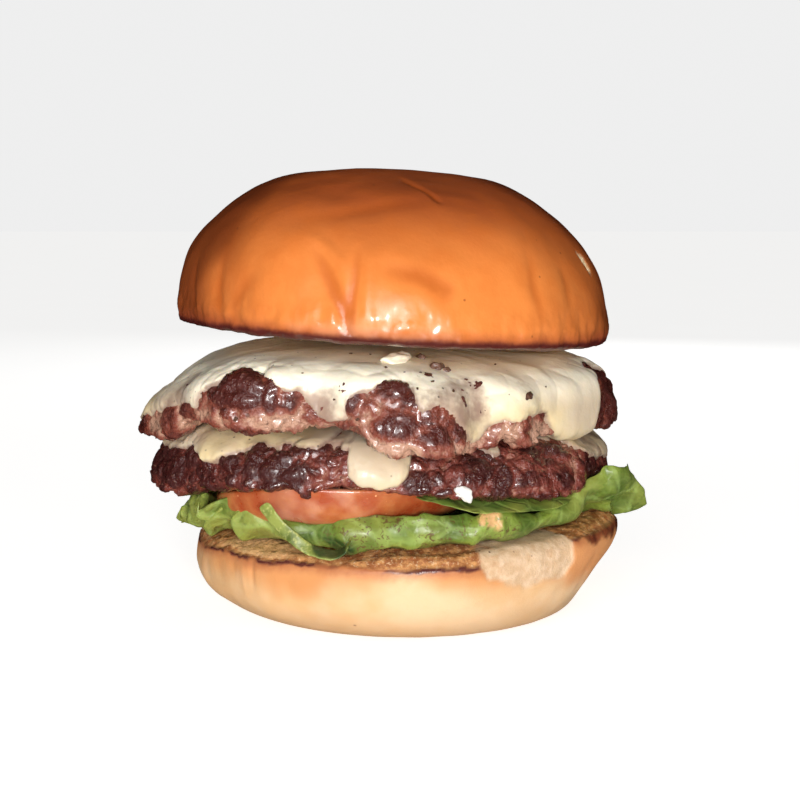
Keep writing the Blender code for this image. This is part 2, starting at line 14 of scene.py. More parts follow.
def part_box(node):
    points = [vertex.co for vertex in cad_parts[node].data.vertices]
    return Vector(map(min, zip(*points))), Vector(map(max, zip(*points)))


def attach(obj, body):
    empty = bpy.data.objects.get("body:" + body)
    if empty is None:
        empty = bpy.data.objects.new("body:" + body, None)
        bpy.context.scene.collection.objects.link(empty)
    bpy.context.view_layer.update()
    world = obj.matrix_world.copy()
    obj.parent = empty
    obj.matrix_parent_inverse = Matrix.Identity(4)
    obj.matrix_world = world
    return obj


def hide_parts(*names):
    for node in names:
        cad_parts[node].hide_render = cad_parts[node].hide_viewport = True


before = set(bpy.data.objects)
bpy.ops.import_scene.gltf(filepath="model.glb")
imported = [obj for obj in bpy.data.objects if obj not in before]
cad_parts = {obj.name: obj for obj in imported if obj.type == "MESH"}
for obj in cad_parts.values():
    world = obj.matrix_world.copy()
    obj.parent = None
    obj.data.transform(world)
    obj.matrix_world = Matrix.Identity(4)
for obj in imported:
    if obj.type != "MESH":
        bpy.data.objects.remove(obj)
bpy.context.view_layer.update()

# The heel
# The lower half of a soft wheat bun, baked on its flat foot. It was cut across and toasted, so a tan ring
# of crumb shows above its thin crust, and a piece of crust is torn off on the right.
MM = 0.001
SKIN_LEVELS = 2


def angle_of(points):
    return np.degrees(np.arctan2(points[..., 0], -points[..., 1]))


def smooth(value, low, high):
    """0 below low, 1 above high, eased between them."""
    t = np.clip((value - low) / (high - low), 0, 1)
    return t * t * (3 - 2 * t)


def lined(angle, knots):
    """A closed line round the burger through (angle, value) knots."""
    at, value = zip(*knots)
    return np.interp(angle, at, value, period=360)


def eased(angle, knots):
    """A closed curve round the burger through (angle, value) knots, each a smooth crest or hollow."""
    knots = sorted(knots)
    at = np.array([knots[-1][0] - 360] + [a for a, _ in knots] + [knots[0][0] + 360], float)
    value = np.array([knots[-1][1]] + [v for _, v in knots] + [knots[0][1]], float)
    angle = (np.asarray(angle, float) - at[1]) % 360 + at[1]
    k = np.clip(np.searchsorted(at, angle, side="right") - 1, 0, len(at) - 2)
    t = (angle - at[k]) / (at[k + 1] - at[k])
    return value[k] + (value[k + 1] - value[k]) * t * t * (3 - 2 * t)


def rough(points, grain, seed, octaves=1):
    """Soft lumps from -1 to 1, about one grain across, the same on every run."""
    shift = Vector((seed * 3.7, seed * 1.9, seed * 5.3))
    flat = (points.reshape(-1, 3) / grain).tolist()
    if octaves == 1:
        found = [noise.noise(Vector(p) + shift) for p in flat]
    else:
        found = [noise.fractal(Vector(p) + shift, 0.9, 2.1, octaves) for p in flat]
    return np.array(found).reshape(points.shape[:-1])


def pebbled(points, grain, seed):
    """Packed pebbles, 0 in the cracks between them and about 1 on their tops."""
    shift = Vector((seed * 2.9, seed * 4.3, seed * 1.7))
    found = []
    for p in (points.reshape(-1, 3) / grain).tolist():
        near = noise.voronoi(Vector(p) + shift)[0]
        found.append(near[1] - near[0])
    return np.clip(np.array(found) * 1.6, 0, 1).reshape(points.shape[:-1]) ** 0.6


def within(outline, angle, height, radius):
    """How far inside an (angle, millimetre) outline on a wall of this radius each place is, in metres."""
    corners = np.array(outline, float)
    corners = np.stack([np.radians(corners[:, 0]) * radius, corners[:, 1] * MM], axis=1)
    place = np.stack([np.radians(angle) * radius, height], axis=-1)
    nearest = np.full(angle.shape, 1.0)
    odd = np.zeros(angle.shape, bool)
    for a, b in zip(corners, np.roll(corners, -1, axis=0)):
        side = b - a
        t = np.clip(((place - a) @ side) / max(side @ side, 1e-12), 0, 1)
        nearest = np.minimum(nearest, np.linalg.norm(place - a - t[..., None] * side, axis=-1))
        level = (a[1] > place[..., 1]) != (b[1] > place[..., 1])
        slope = (b[0] - a[0]) / (b[1] - a[1] if b[1] != a[1] else 1e-12)
        odd ^= level & (place[..., 0] < a[0] + slope * (place[..., 1] - a[1]))
    return np.where(odd, nearest, -nearest)


def linked(name, data):
    made = bpy.data.objects.new(name, data)
    bpy.context.scene.collection.objects.link(made)
    return made


def untriangled(node):
    """A solid's own shape, its triangles joined to quads again."""
    shape = bmesh.new()
    shape.from_mesh(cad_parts[node].data)
    bmesh.ops.remove_doubles(shape, verts=shape.verts, dist=2e-6)
    limits = {"angle_face_threshold": 3.1, "angle_shape_threshold": 3.1}
    bmesh.ops.join_triangles(shape, faces=shape.faces, **limits)
    return shape


class Skin:
    """A solid's skin, smoothed, from which the finer skin of the same piece is measured."""

    def __init__(self, node, centre=(0, 0), sharpness=0.0):
        shape = untriangled(node)
        crease = shape.edges.layers.float.new("crease_edge")
        for edge in shape.edges:
            if edge.calc_face_angle(0) > math.radians(30):
                edge[crease] = sharpness
        mesh = bpy.data.meshes.new(node + "_skin")
        shape.to_mesh(mesh)
        shape.free()
        blank = linked(node + "_skin", mesh)
        blank.modifiers.new("Subdivision", "SUBSURF").levels = SKIN_LEVELS
        self.tree = BVHTree.FromObject(blank, bpy.context.evaluated_depsgraph_get())
        bpy.data.objects.remove(blank)
        self.centre = centre
        self.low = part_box(node)[0].z

    def cast(self, origin, direction, instead):
        place = self.tree.ray_cast(origin, direction)[0]
        return place if place else Vector(instead)

    def at(self, angle, height):
        """The skin's outermost place at this angle and height."""
        out = Vector((math.sin(math.radians(angle)), -math.cos(math.radians(angle)), 0))
        middle = Vector((*self.centre, height))
        return self.cast(middle + out * 0.12, -out, middle + out * 0.05)

    def wrapped(self, columns, spine, turns, inner):
        """Rows of points round the piece: out from under its middle, up its wall, and in over its top."""
        rows, stations = [], []
        for angle in np.radians(np.arange(columns) * 360 / columns - 180):
            out = Vector((math.sin(angle), -math.cos(angle), 0))
            foot = Vector((*self.centre, 0)) + out * spine
            low = self.cast(foot - Vector((0, 0, 0.02)), Vector((0, 0, 1)), foot)
            high = self.cast(foot + Vector((0, 0, 0.2)), Vector((0, 0, -1)), foot)
            stations.append((out, (low + high) / 2))
        low_edge, high_edge = [], []
        for turn in turns:
            c, s = math.cos(math.radians(turn)), math.sin(math.radians(turn))
            row = []
            for out, middle in stations:
                way = out * c + Vector((0, 0, s))
                row.append(self.cast(middle, way, middle + way * 0.004))
            rows.append(row)
        for share in inner:
            for edge, way, start in ((low_edge, 1, -0.05), (high_edge, -1, 0.2)):
                row = []
                for out, middle in stations:
                    foot = Vector((*self.centre, 0)) + out * spine * share
                    instead = foot + Vector((0, 0, middle.z))
                    row.append(self.cast(foot + Vector((0, 0, start)), Vector((0, 0, way)), instead))
                edge.append(row)
        return np.array(low_edge[::-1] + rows + high_edge)


def normals_of(rows):
    """Outward normals of rows of points that run round a piece from under it to over it."""
    round_it = np.roll(rows, -1, axis=1) - np.roll(rows, 1, axis=1)
    over_it = np.gradient(rows, axis=0)
    found = np.cross(round_it, over_it)
    return found / np.maximum(np.linalg.norm(found, axis=-1, keepdims=True), 1e-12)


def closed(name, rows, **marks):
    """Rows of points round a piece as a closed mesh, with its first and last row each drawn to one point."""
    count, columns = rows.shape[:2]
    ends = [rows[0].mean(axis=0), rows[-1].mean(axis=0)]
    points = np.concatenate([rows.reshape(-1, 3), ends])
    here = np.arange(columns)
    after = (here + 1) % columns
    faces = []
    for k in range(count - 1):
        low, high = k * columns, (k + 1) * columns
        faces += np.stack([low + here, low + after, high + after, high + here], 1).tolist()
    last = count * columns
    faces += np.stack([after, here, np.full(columns, last)], 1).tolist()
    top = (count - 1) * columns
    faces += np.stack([top + here, top + after, np.full(columns, last + 1)], 1).tolist()
    mesh = bpy.data.meshes.new(name)
    mesh.from_pydata(points.tolist(), [], faces)
    mesh.shade_smooth()
    for mark, field in marks.items():
        spread = np.concatenate([field.ravel(), [field[0].mean(), field[-1].mean()]])
        mesh.attributes.new(mark, "FLOAT", "POINT").data.foreach_set("value", spread.astype(np.float32))
    return linked(name, mesh)


def dye(code):
    """A colour written as six hexadecimal digits, as the shader wants it."""
    parts = [int(code[k:k + 2], 16) / 255 for k in (0, 2, 4)]
    return (*[p / 12.92 if p <= 0.04045 else ((p + 0.055) / 1.055) ** 2.4 for p in parts], 1)


class Value:
    """One value on its way through a finish. Python's operators add the Math nodes."""

    def __init__(self, finish, socket):
        self.finish, self.socket = finish, socket

    def maths(self, operation, *terms):
        return self.finish.node("ShaderNodeMath", {"operation": operation}, dict(enumerate(terms)))

    def __add__(self, other):
        return self.maths("ADD", self, other)

    __radd__ = __add__

    def __sub__(self, other):
        return self.maths("SUBTRACT", self, other)

    def __rsub__(self, other):
        return self.maths("SUBTRACT", other, self)

    def __mul__(self, other):
        return self.maths("MULTIPLY", self, other)

    __rmul__ = __mul__

    def over(self, low, high):
        """0 below low, 1 above high, eased between them."""
        range_ = {0: self, 1: low, 2: high, 3: 0.0, 4: 1.0}
        return self.finish.node("ShaderNodeMapRange", {"interpolation_type": "SMOOTHSTEP"}, range_)


class Finish:
    """A procedural material, put together node by node."""

    def __init__(self, name, **constants):
        self.material = bpy.data.materials.new(name)
        self.material.use_nodes = True
        self.tree = self.material.node_tree
        self.shader = self.tree.nodes["Principled BSDF"]
        for socket, value in constants.items():
            self.shader.inputs[socket.replace("_", " ")].default_value = value
        self.place = self.node("ShaderNodeTexCoord", out="Object")

    def node(self, kind, settings=None, sockets=None, out=0):
        made = self.tree.nodes.new(kind)
        for key, value in (settings or {}).items():
            setattr(made, key, value)
        for key, value in (sockets or {}).items():
            if isinstance(value, Value):
                self.tree.links.new(value.socket, made.inputs[key])
            else:
                made.inputs[key].default_value = value
        return Value(self, made.outputs[out])

    def grain(self, size, detail=2.0, warp=0.0):
        """Cloudy noise from 0 to 1, its blotches about size millimetres across."""
        sockets = {"Vector": self.place, "Scale": 1000 / size, "Detail": detail, "Distortion": warp}
        return self.node("ShaderNodeTexNoise", {}, sockets)

    def cells(self, size, feature="F1"):
        """Cells about size millimetres across: the distance to a cell's middle or to its edge."""
        sockets = {"Vector": self.place, "Scale": 1000 / size}
        return self.node("ShaderNodeTexVoronoi", {"feature": feature}, sockets)

    def mark(self, name):
        return self.node("ShaderNodeAttribute", {"attribute_name": name}, out="Fac")

    def mixed(self, share, colour, other):
        return self.node("ShaderNodeMix", {"data_type": "RGBA"}, {0: share, 6: colour, 7: other}, 2)

    def feed(self, **inputs):
        for socket, value in inputs.items():
            self.tree.links.new(value.socket, self.shader.inputs[socket.replace("_", " ")])

    def relief(self, height, depth):
        """Fine relief, this many millimetres deep, that no mesh is fine enough for."""
        sockets = {"Height": height, "Distance": depth * MM, "Strength": 1.0}
        self.feed(Normal=self.node("ShaderNodeBump", {}, sockets))


def finished(piece, finish, node):
    """Dresses a piece, hands it to the frame, and hides the solid it stands for."""
    piece.data.materials.append(finish.material)
    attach(piece, "root")
    if node:
        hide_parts(node)


HEEL_CRUST_LINE = [
    # where the crust ends: angle, millimetres above the foot
    (-175, 20), (-140, 20.6), (-110, 19.4), (-90, 17.6), (-67, 18.3), (-55, 19.8), (-46, 19.2), (-38, 19.2),
    (-29, 20.1), (-19, 20.2), (-11, 20.1), (-4, 19.7), (6, 19.8), (14, 19.9), (21, 19.7), (36, 21.6),
    (51, 22.6), (59, 23.4), (75, 22.9), (90, 20.9), (120, 20.2), (150, 20.8),
]
HEEL_ORANGE_LINE = [
    # how far down the crust is browned
    (-180, 13), (-120, 14.5), (-90, 13), (-72, 14.3), (-52, 13.8), (-40, 11.5), (-28, 11.1), (-14, 14.7),
    (-4, 17.5), (1, 18.9), (6, 16.9), (13, 15.4), (21, 15.1), (36, 14), (50, 13), (60, 10), (76, 8.5),
    (95, 10), (130, 12), (155, 15),
]
HEEL_TORN = [
    (20, 19.7), (21.5, 23.2), (29, 24.4), (37, 25), (44, 26), (50.5, 26.6), (51, 23.6), (51.5, 18.3),
    (50, 13.6), (44, 13.9), (39, 13.1), (32, 13.4), (26, 15.3), (22.5, 16.6),
]
HEEL_SCORCHED = [(51, 23.9), (54, 25.9), (68, 25.4), (90, 21.5), (90, 18.5), (68, 20.8), (59, 20.4)]
HEEL_CREASES = (
    # angle, height, half angle, half height, depth, all in degrees and millimetres
    (-50, 17, 1.6, 4.0, 0.3), (-45.5, 14, 1.2, 3.5, -0.3), (-42, 15.5, 0.9, 3.2, 0.45),
    (-36, 12, 2.2, 4.0, 0.2), (-30, 14, 1.8, 3.0, 0.22), (-57, 14, 2.4, 3.6, 0.2),
    (-66, 12, 3.0, 4.5, 0.25), (-22, 14, 2.6, 3.0, 0.15), (62, 15, 3.2, 5.0, 0.3), (72, 12, 2.8, 4.0, 0.3),
    (96, 14, 3.0, 5.0, 0.3), (118, 12, 3.4, 5.0, 0.3), (141, 14, 2.6, 5.0, 0.35), (163, 13, 3.2, 5.0, 0.3),
    (-165, 13, 2.8, 5.0, 0.35), (-141, 12, 3.4, 5.0, 0.3), (-120, 14, 2.6, 5.0, 0.3),
    (-98, 13, 3.2, 5.0, 0.3),
)


def spotted(angle, height, spots):
    """Adds up soft spots of (angle, height, half angle, half height, amount)."""
    total = np.zeros(angle.shape)
    for at, middle, half_angle, half_height, amount in spots:
        turn = (angle - at + 180) % 360 - 180
        total += amount * np.exp(-(turn / half_angle) ** 2 - ((height / MM - middle) / half_height) ** 2)
    return total


HEEL_COLUMNS, HEEL_SPINE, HEEL_INNER = 720, 33 * MM, (0.9, 0.7, 0.35)
heel_skin = Skin("heel")
heel_turns = np.concatenate([np.linspace(-90, -44, 14), np.linspace(-42, 62, 66), np.linspace(66, 90, 7)])
heel_rows = heel_skin.wrapped(HEEL_COLUMNS, HEEL_SPINE, heel_turns, HEEL_INNER)
angle, height = angle_of(heel_rows), heel_rows[..., 2]
reach = np.hypot(heel_rows[..., 0], heel_rows[..., 1])
side = smooth(reach, 43 * MM, 47 * MM)
ragged = rough(heel_rows, 2.2 * MM, 5, 3) * 0.5 * MM
to_line = height - lined(angle, HEEL_CRUST_LINE) * MM + ragged
torn_by = within(HEEL_TORN, angle, height, 52 * MM) + rough(heel_rows, 5 * MM, 8, 2) * 1.3 * MM
torn = smooth(torn_by, -0.6 * MM, 0.7 * MM)
crumb = np.maximum(smooth(to_line, -0.25 * MM, 0.35 * MM), smooth(height, 22 * MM, 23 * MM)) * (1 - torn)
crumb = np.where(reach < 40 * MM, 1.0, crumb)
crumb = crumb * smooth(height, 15 * MM, 17 * MM)
lip = smooth(angle, -64, -56) * smooth(angle, -26, -36)
scorched_by = within(HEEL_SCORCHED, angle, height, 50 * MM) + rough(heel_rows, 4 * MM, 13, 3) * 1.2 * MM
scorched = smooth(scorched_by, -0.5 * MM, 0.8 * MM)
browned_by = height - lined(angle, HEEL_ORANGE_LINE) * MM + rough(heel_rows, 9 * MM, 12, 2) * 3 * MM
browned = smooth(browned_by, -3.5 * MM, 4 * MM)
relief = -spotted(angle, height, HEEL_CREASES) * MM * side
relief += (rough(heel_rows, 14 * MM, 6) * 0.5 + rough(heel_rows, 5 * MM, 7) * 0.2) * MM * side
relief -= crumb * side * 0.55 * MM
relief += np.exp(-((angle - 84) / 24) ** 2) * smooth(height, 4 * MM, 19 * MM) * side * 1.9 * MM
holes = pebbled(heel_rows, 1.1 * MM, 3) * 0.4 - 0.3 + rough(heel_rows, 3.5 * MM, 9, 2) * 0.35
relief += crumb * holes * MM * smooth(height, 15 * MM, 18 * MM)
relief += torn * (rough(heel_rows, 6 * MM, 10, 2) * 0.3 + rough(heel_rows, 1.2 * MM, 11) * 0.07) * MM
relief -= torn * 0.5 * MM * side
relief *= smooth(height, 0.4 * MM, 3 * MM)
heel_rows = heel_rows + normals_of(heel_rows) * relief[..., None]
heel_rows[..., 2] = np.maximum(heel_rows[..., 2], 0)
heel = closed("heel_bun", heel_rows, crumb=crumb, torn=torn, browned=browned, scorched=scorched, lip=lip,
              line=to_line / MM, up=height / MM)

bun = Finish("heel_crust", Specular_IOR_Level=0.4, Subsurface_Weight=0.08,
             Subsurface_Radius=(0.004, 0.002, 0.001))
cloud, fine, speck = bun.grain(16, 3), bun.grain(2.2, 4), bun.grain(0.7, 2)
crust = bun.mixed(cloud.over(0.35, 0.68), dye("d1a472"), dye("dab890"))
# Painted shade: the crust turns darker and greyer towards its foot.
crust = bun.mixed(bun.mark("up").over(10, 1) * 0.75, crust, dye("b08e69"))
crust = bun.mixed(bun.mark("browned") * (0.72 + 0.5 * (cloud - 0.5)), crust, dye("c97a38"))
near_line = bun.mark("line").over(-3.6, -0.1)
crust = bun.mixed(near_line * (0.2 + fine), crust, dye("9c5330"))
crust = bun.mixed(bun.mark("scorched"), crust, bun.mixed(fine.over(0.3, 0.7), dye("4a1f16"), dye("8a4a2c")))
dark_line = bun.mark("line").over(-1.25, -0.5) * (bun.grain(9, 2).over(0.34, 0.5))
crust = bun.mixed(dark_line * 0.92, crust, dye("4c2326"))
toast = bun.mixed(fine.over(0.38, 0.62), dye("94582f"), dye("c98f58"))
toast = bun.mixed(speck.over(0.55, 0.75) * 0.6, toast, dye("e3c199"))
lip_fold = bun.mark("lip") * bun.mark("line").over(0.4, 0.9) * bun.mark("line").over(3.4, 2.6)
toast = bun.mixed(lip_fold * 0.85, toast, bun.mixed(fine, dye("d09a62"), dye("e0b482")))
lip_line = bun.mark("lip") * bun.mark("line").over(2.5, 2.9) * bun.mark("line").over(4.2, 3.4)
toast = bun.mixed(lip_line * 0.8, toast, dye("4c2326"))
soft = bun.mixed(fine.over(0.35, 0.7), dye("c4a27e"), dye("d4b696"))
soft = bun.mixed(cloud.over(0.4, 0.65) * 0.4, soft, dye("dfc3a0"))
soft = bun.mixed(bun.grain(4, 2).over(0.6, 0.7) * 0.3, soft, dye("a9743f"))
soft = bun.mixed(bun.cells(2.3).over(0.16, 0.09) * bun.grain(6).over(0.48, 0.55), soft, dye("5d3a24"))
skin_tone = bun.mixed(bun.mark("crumb"), crust, toast)
skin_tone = bun.mixed(bun.mark("torn"), skin_tone, soft)
freckle = bun.cells(13).over(0.055, 0.03)
skin_tone = bun.mixed(freckle * 0.8, skin_tone, dye("6b4526"))
open_crumb = 0.3 * bun.mark("crumb") + 0.24 * bun.mark("torn")
baked_hard = 0.25 * dark_line + 0.2 * bun.mark("scorched")
bun.feed(Base_Color=skin_tone, Roughness=0.5 + open_crumb - baked_hard + 0.1 * (fine - 0.5))
pits = speck * (0.2 + bun.mark("crumb") * 1.2 + bun.mark("torn") * 0.7)
bun.relief(fine * 0.5 + pits + bun.grain(0.35) * 0.2, 0.16)
finished(heel, bun, "heel")

# The leaf over the heel
# A green lettuce leaf lies on the toasted cut. Its rim curls up, is folded back on itself in front, stands
# in frills on the left, and flares out on the right.


def refined(name, node, levels):
    """A solid's own mesh with smaller faces, for pieces too thin to measure from inside."""
    shape = untriangled(node)
    mesh = bpy.data.meshes.new(name)
    shape.to_mesh(mesh)
    shape.free()
    blank = linked(name, mesh)
    blank.modifiers.new("Subdivision", "SUBSURF").levels = levels
    fine_mesh = bpy.data.meshes.new_from_object(blank.evaluated_get(bpy.context.evaluated_depsgraph_get()))
    blank.modifiers.clear()
    blank.data = fine_mesh
    fine_mesh.name = name
    fine_mesh.shade_smooth()
    points = np.zeros(len(fine_mesh.vertices) * 3)
    fine_mesh.vertices.foreach_get("co", points)
    return blank, points.reshape(-1, 3)


def placed(piece, points, **marks):
    """Moves a piece's points, and keeps a mark for its finish at each of them."""
    piece.data.vertices.foreach_set("co", points.ravel())
    for mark, field in marks.items():
        piece.data.attributes.new(mark, "FLOAT", "POINT").data.foreach_set("value", field.astype(np.float32))
    piece.data.update()
    return piece


def crumpled(points, grain, seed):
    """A smooth push in a different direction every grain, the same for both faces of a thin sheet."""
    return np.stack([rough(points, grain, seed + k * 11) for k in range(3)], axis=-1)


LEAF_FRILL = [
    # how much its rim is ruffled
    (-180, 1), (-60, 1), (-42, 0.7), (-28, 0), (50, 0), (66, 0.3), (96, 0.6), (120, 1),
]
LEAF_LIFT = [
    # how far the leaf's rim is raised, in millimetres
    (-180, 0), (-70, 0.6), (-58, 4.2), (-46, 5.8), (-37, 4.8), (-29, 2), (-22, 0.6), (-10, 0.3), (4, 1.4),
    (28, 2), (44, 1.2), (52, 0.6), (64, 3), (72, 1.5), (82, 0),
]
LEAF_STUCK = [(20, 31.5), (23, 33), (26, 32), (27, 28), (25, 25.5), (23, 27), (21, 28)]
# The hollow inside the loose curl's loop, painted dark as shade.
CURL_HOLLOW = [(-20.5, 25.3), (-17, 26), (-13.2, 25.5), (-12, 24.2), (-14.5, 23.1), (-18.5, 23.1), (-20, 24)]
leaf, points = refined("lettuce_over_heel", "lettuce_leaf", 2)
angle, reach, height = angle_of(points), np.hypot(points[:, 0], points[:, 1]), points[:, 2]
rim = smooth(reach, 43 * MM, 48 * MM)
frill = eased(angle, LEAF_FRILL) * rim
push = crumpled(points, 7 * MM, 21) * (1.7 + 1.8 * frill)[:, None]
push += crumpled(points, 3.4 * MM, 24) * (0.8 + 1.4 * frill)[:, None]
points = points + push * MM * rim[:, None]
# Paler in random patches, which the leaf has, and on its frilled rim, which is painted light.
pale = rough(points, 12 * MM, 27) + 0.9 * frill
outward = points[:, :2] / reach[:, None]
# Painted shade in the hollows, where the crumpling pushes the rim inward.
pocket = smooth(-(push[:, :2] * outward).sum(axis=1), 0.15, 0.9)
hollow = smooth(within(CURL_HOLLOW, angle, height, 54 * MM), -0.6 * MM, 0.3 * MM)
lift = eased(angle, LEAF_LIFT)
points[:, 2] += lift * MM * smooth(reach, 42 * MM, 51 * MM) * smooth(height, 20 * MM, 27 * MM)
on_left = smooth(angle, -50, -62) * smooth(angle, -105, -90)
on_right = smooth(angle, 50, 62) * smooth(angle, 90, 80)
points[:, 0] += smooth(reach, 50 * MM, 60 * MM) * on_left * 3.5 * MM
points[:, 0] -= smooth(reach, 52 * MM, 62 * MM) * on_right * 2.5 * MM
dusted = smooth(angle, -28, -10) * smooth(angle, 44, 30)
stuck = smooth(within(LEAF_STUCK, angle, height, 54 * MM), -0.5 * MM, 0.5 * MM)
placed(leaf, points, pale=pale, laid=1 - rim, dusted=dusted, stuck=stuck, pocket=pocket, hollow=hollow)

green = Finish("lettuce", Specular_IOR_Level=0.5, Coat_Roughness=0.25, Subsurface_Weight=0.12,
               Subsurface_Radius=(0.001, 0.002, 0.0005))
vein = green.cells(13, "DISTANCE_TO_EDGE").over(0.07, 0.01)
veinlet = green.cells(2.6, "DISTANCE_TO_EDGE").over(0.16, 0.03)
blotch, fleck = green.grain(9, 3), green.grain(1.4, 3)
blade = green.mixed(blotch.over(0.32, 0.7), dye("465a1e"), dye("7b8b34"))
# The leaf's own paler patches, and painted light on the frills.
blade = green.mixed(green.mark("pale").over(0.0, 0.8) * 0.75, blade, dye("8f9441"))
# Painted shade in the crumpled hollows.
blade = green.mixed(green.mark("pocket") * 0.55, blade, dye("3a5718"))
# Painted shade inside the curl's loop.
blade = green.mixed(green.mark("hollow") * 0.85, blade, dye("1e3513"))
blade = green.mixed(vein * 0.22 + veinlet * 0.08, blade, dye("a9c266"))
crumbs = green.grain(1.3, 4, 1.2).over(0.57, 0.63) * green.grain(8, 2).over(0.42, 0.54) * green.mark("dusted")
blade = green.mixed(crumbs * 0.85, blade, dye("5c4424"))
blade = green.mixed(green.mark("stuck") * fleck.over(0.3, 0.5), blade, dye("cda06a"))
blade = green.mixed(fleck.over(0.62, 0.8) * 0.35, blade, dye("3d5f19"))
green.feed(Base_Color=blade, Roughness=0.42 + 0.25 * (fleck - 0.5) + 0.1 * vein + 0.4 * green.mark("laid"),
           Coat_Weight=(0.08 + 0.22 * blotch) * (1 - green.mark("laid")))
green.relief(vein * -0.4 + veinlet * -0.12 + blotch * 1.6 + fleck * 0.3, 0.3)
finished(leaf, green, "lettuce_leaf")

# The tomato
# An end slice with its glossy skin curving in underneath, laid on the leaf towards the front left.
slice_, points = refined("tomato_slice", "tomato", 3)
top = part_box("tomato")[1].z
points[:, 2] = top - (top - points[:, 2]) * 1.4
brim = np.hypot(points[:, 0] + 12 * MM, points[:, 1] + 19 * MM)
at_brim = smooth(brim, 0.7 * brim.max(), 0.97 * brim.max())
points[:, 2] += at_brim * smooth(points[:, 2], 28 * MM, top) * 3.2 * MM
points = points + crumpled(points, 13 * MM, 31) * 0.25 * MM
# Where a painted sheen lightens the skin's upper front.
sheen = smooth(np.abs(points[:, 0] + 18 * MM), 15 * MM, 5 * MM)
placed(slice_, points, rise=(points[:, 2] - 26.5 * MM) / MM, sheen=sheen)
skin = Finish("tomato_skin", Specular_IOR_Level=0.6, Coat_Roughness=0.08, Subsurface_Weight=0.2,
              Subsurface_Radius=(0.004, 0.0012, 0.0006))
streak, dots = skin.grain(6, 3), skin.grain(0.5, 1)
red = skin.mixed(streak.over(0.3, 0.7), dye("a04420"), dye("b86c3c"))
red = skin.mixed(skin.mark("rise").over(2.2, 0.2) * 0.6, red, dye("e39a74"))
red = skin.mixed(skin.cells(1.6).over(0.16, 0.08) * skin.grain(8).over(0.5, 0.65) * 0.7, red, dye("e9b07a"))
# A painted sheen: pinkish white on the upper part of the front.
sheen = skin.mark("sheen") * skin.mark("rise").over(1.5, 4) * skin.grain(7, 2).over(0.35, 0.7)
red = skin.mixed(sheen * 0.2, red, dye("f2cdb8"))
skin.feed(Base_Color=red, Roughness=0.2 + 0.2 * streak, Coat_Weight=0.5 + 0.4 * streak)
skin.relief(streak * 1.2 + skin.grain(1.6, 2) * 0.5 + dots * 0.15, 0.25)
finished(slice_, skin, "tomato")

# The second leaf
# A thinner, darker leaf that pokes out between the lower patty and the fold, on the right.
flap, points = refined("lettuce_under_patty", "lettuce_flap", 3)
reach = np.hypot(points[:, 0], points[:, 1])
rim = smooth(reach, 40 * MM, 49 * MM)
push = crumpled(points, 6 * MM, 41) * 0.8 + crumpled(points, 2.5 * MM, 44) * 0.25
points = points + push * MM * rim[:, None]
placed(flap, points)
olive = Finish("lettuce_darker", Specular_IOR_Level=0.5, Coat_Roughness=0.3)
vein = olive.cells(6, "DISTANCE_TO_EDGE").over(0.12, 0.02)
blotch, fleck = olive.grain(8, 3), olive.grain(1.2, 3)
blade = olive.mixed(blotch.over(0.3, 0.7), dye("57702a"), dye("96a043"))
blade = olive.mixed(vein * 0.18, blade, dye("9fb060"))
blade = olive.mixed(fleck.over(0.58, 0.75) * 0.5, blade, dye("5c4a20"))
olive.feed(Base_Color=blade, Roughness=0.35 + 0.25 * fleck, Coat_Weight=0.15 + 0.3 * blotch)
olive.relief(vein * -0.5 + blotch + fleck * 0.3, 0.3)
finished(flap, olive, "lettuce_flap")

# The loose curl
# A torn strip of leaf edge that hangs in front of the tomato and turns back up under the fold.
curl, points = refined("lettuce_curl_strip", "lettuce_curl", 3)
hollow = smooth(within(CURL_HOLLOW, angle_of(points), points[:, 2], 54 * MM), -0.5 * MM, 0.3 * MM)
points = points + (crumpled(points, 4 * MM, 51) * 0.35 + crumpled(points, 1.5 * MM, 54) * 0.12) * MM
placed(curl, points, hollow=hollow)
dull = Finish("lettuce_edge", Specular_IOR_Level=0.5, Coat_Roughness=0.3)
blotch, fleck = dull.grain(5, 3), dull.grain(0.9, 3)
blade = dull.mixed(blotch.over(0.35, 0.65), dye("4f5d1c"), dye("88913f"))
blade = dull.mixed(fleck.over(0.5, 0.7) * 0.6, blade, dye("b3b266"))
# Painted shade inside the curl's loop.
blade = dull.mixed(dull.mark("hollow") * 0.9, blade, dye("1e3513"))
dull.feed(Base_Color=blade, Roughness=0.4 + 0.25 * fleck, Coat_Weight=0.1 + 0.3 * blotch)
dull.relief(blotch + fleck * 0.5, 0.25)
finished(curl, dull, "lettuce_curl")

# The lower patty
# Coarse minced beef, loosely pressed and seared dark: a wall of lumps and cracks, wet with juice.
PATTY_COLUMNS, PATTY_SPINE, PATTY_RADIUS = 840, 44 * MM, 57 * MM
PATTY_TURNS = np.concatenate([np.linspace(-90, -70, 5), np.linspace(-66, 66, 56), np.linspace(70, 90, 5)])
PATTY_INNER = (0.93, 0.8, 0.5)
LOWER_SEAR = (
    # angle, millimetres above the foot, half angle, half height, how much darker
    (-75, 38, 14, 6, 0.35), (-50, 38, 10, 6, 0.4), (-33, 41, 8, 5, 0.45), (-24, 39, 7, 5, 0.35),
    (-18, 36, 4, 3, -0.2), (-6, 37.5, 8, 2.2, -0.25), (4, 41, 6, 3, 0.3), (16, 42, 3.4, 4, -0.3),
    (27, 40, 8, 6, 0.3), (45, 40, 10, 6, 0.25), (36, 43, 4, 2.4, -0.3), (54, 40, 7, 4.5, -0.35),
    (70, 38, 8, 5, 0.3), (90, 40, 12, 8, 0.2), (130, 40, 18, 7, 0.2), (165, 41, 10, 4, -0.3),
    (-150, 40, 20, 7, 0.25), (-115, 41, 10, 4, -0.25),
)


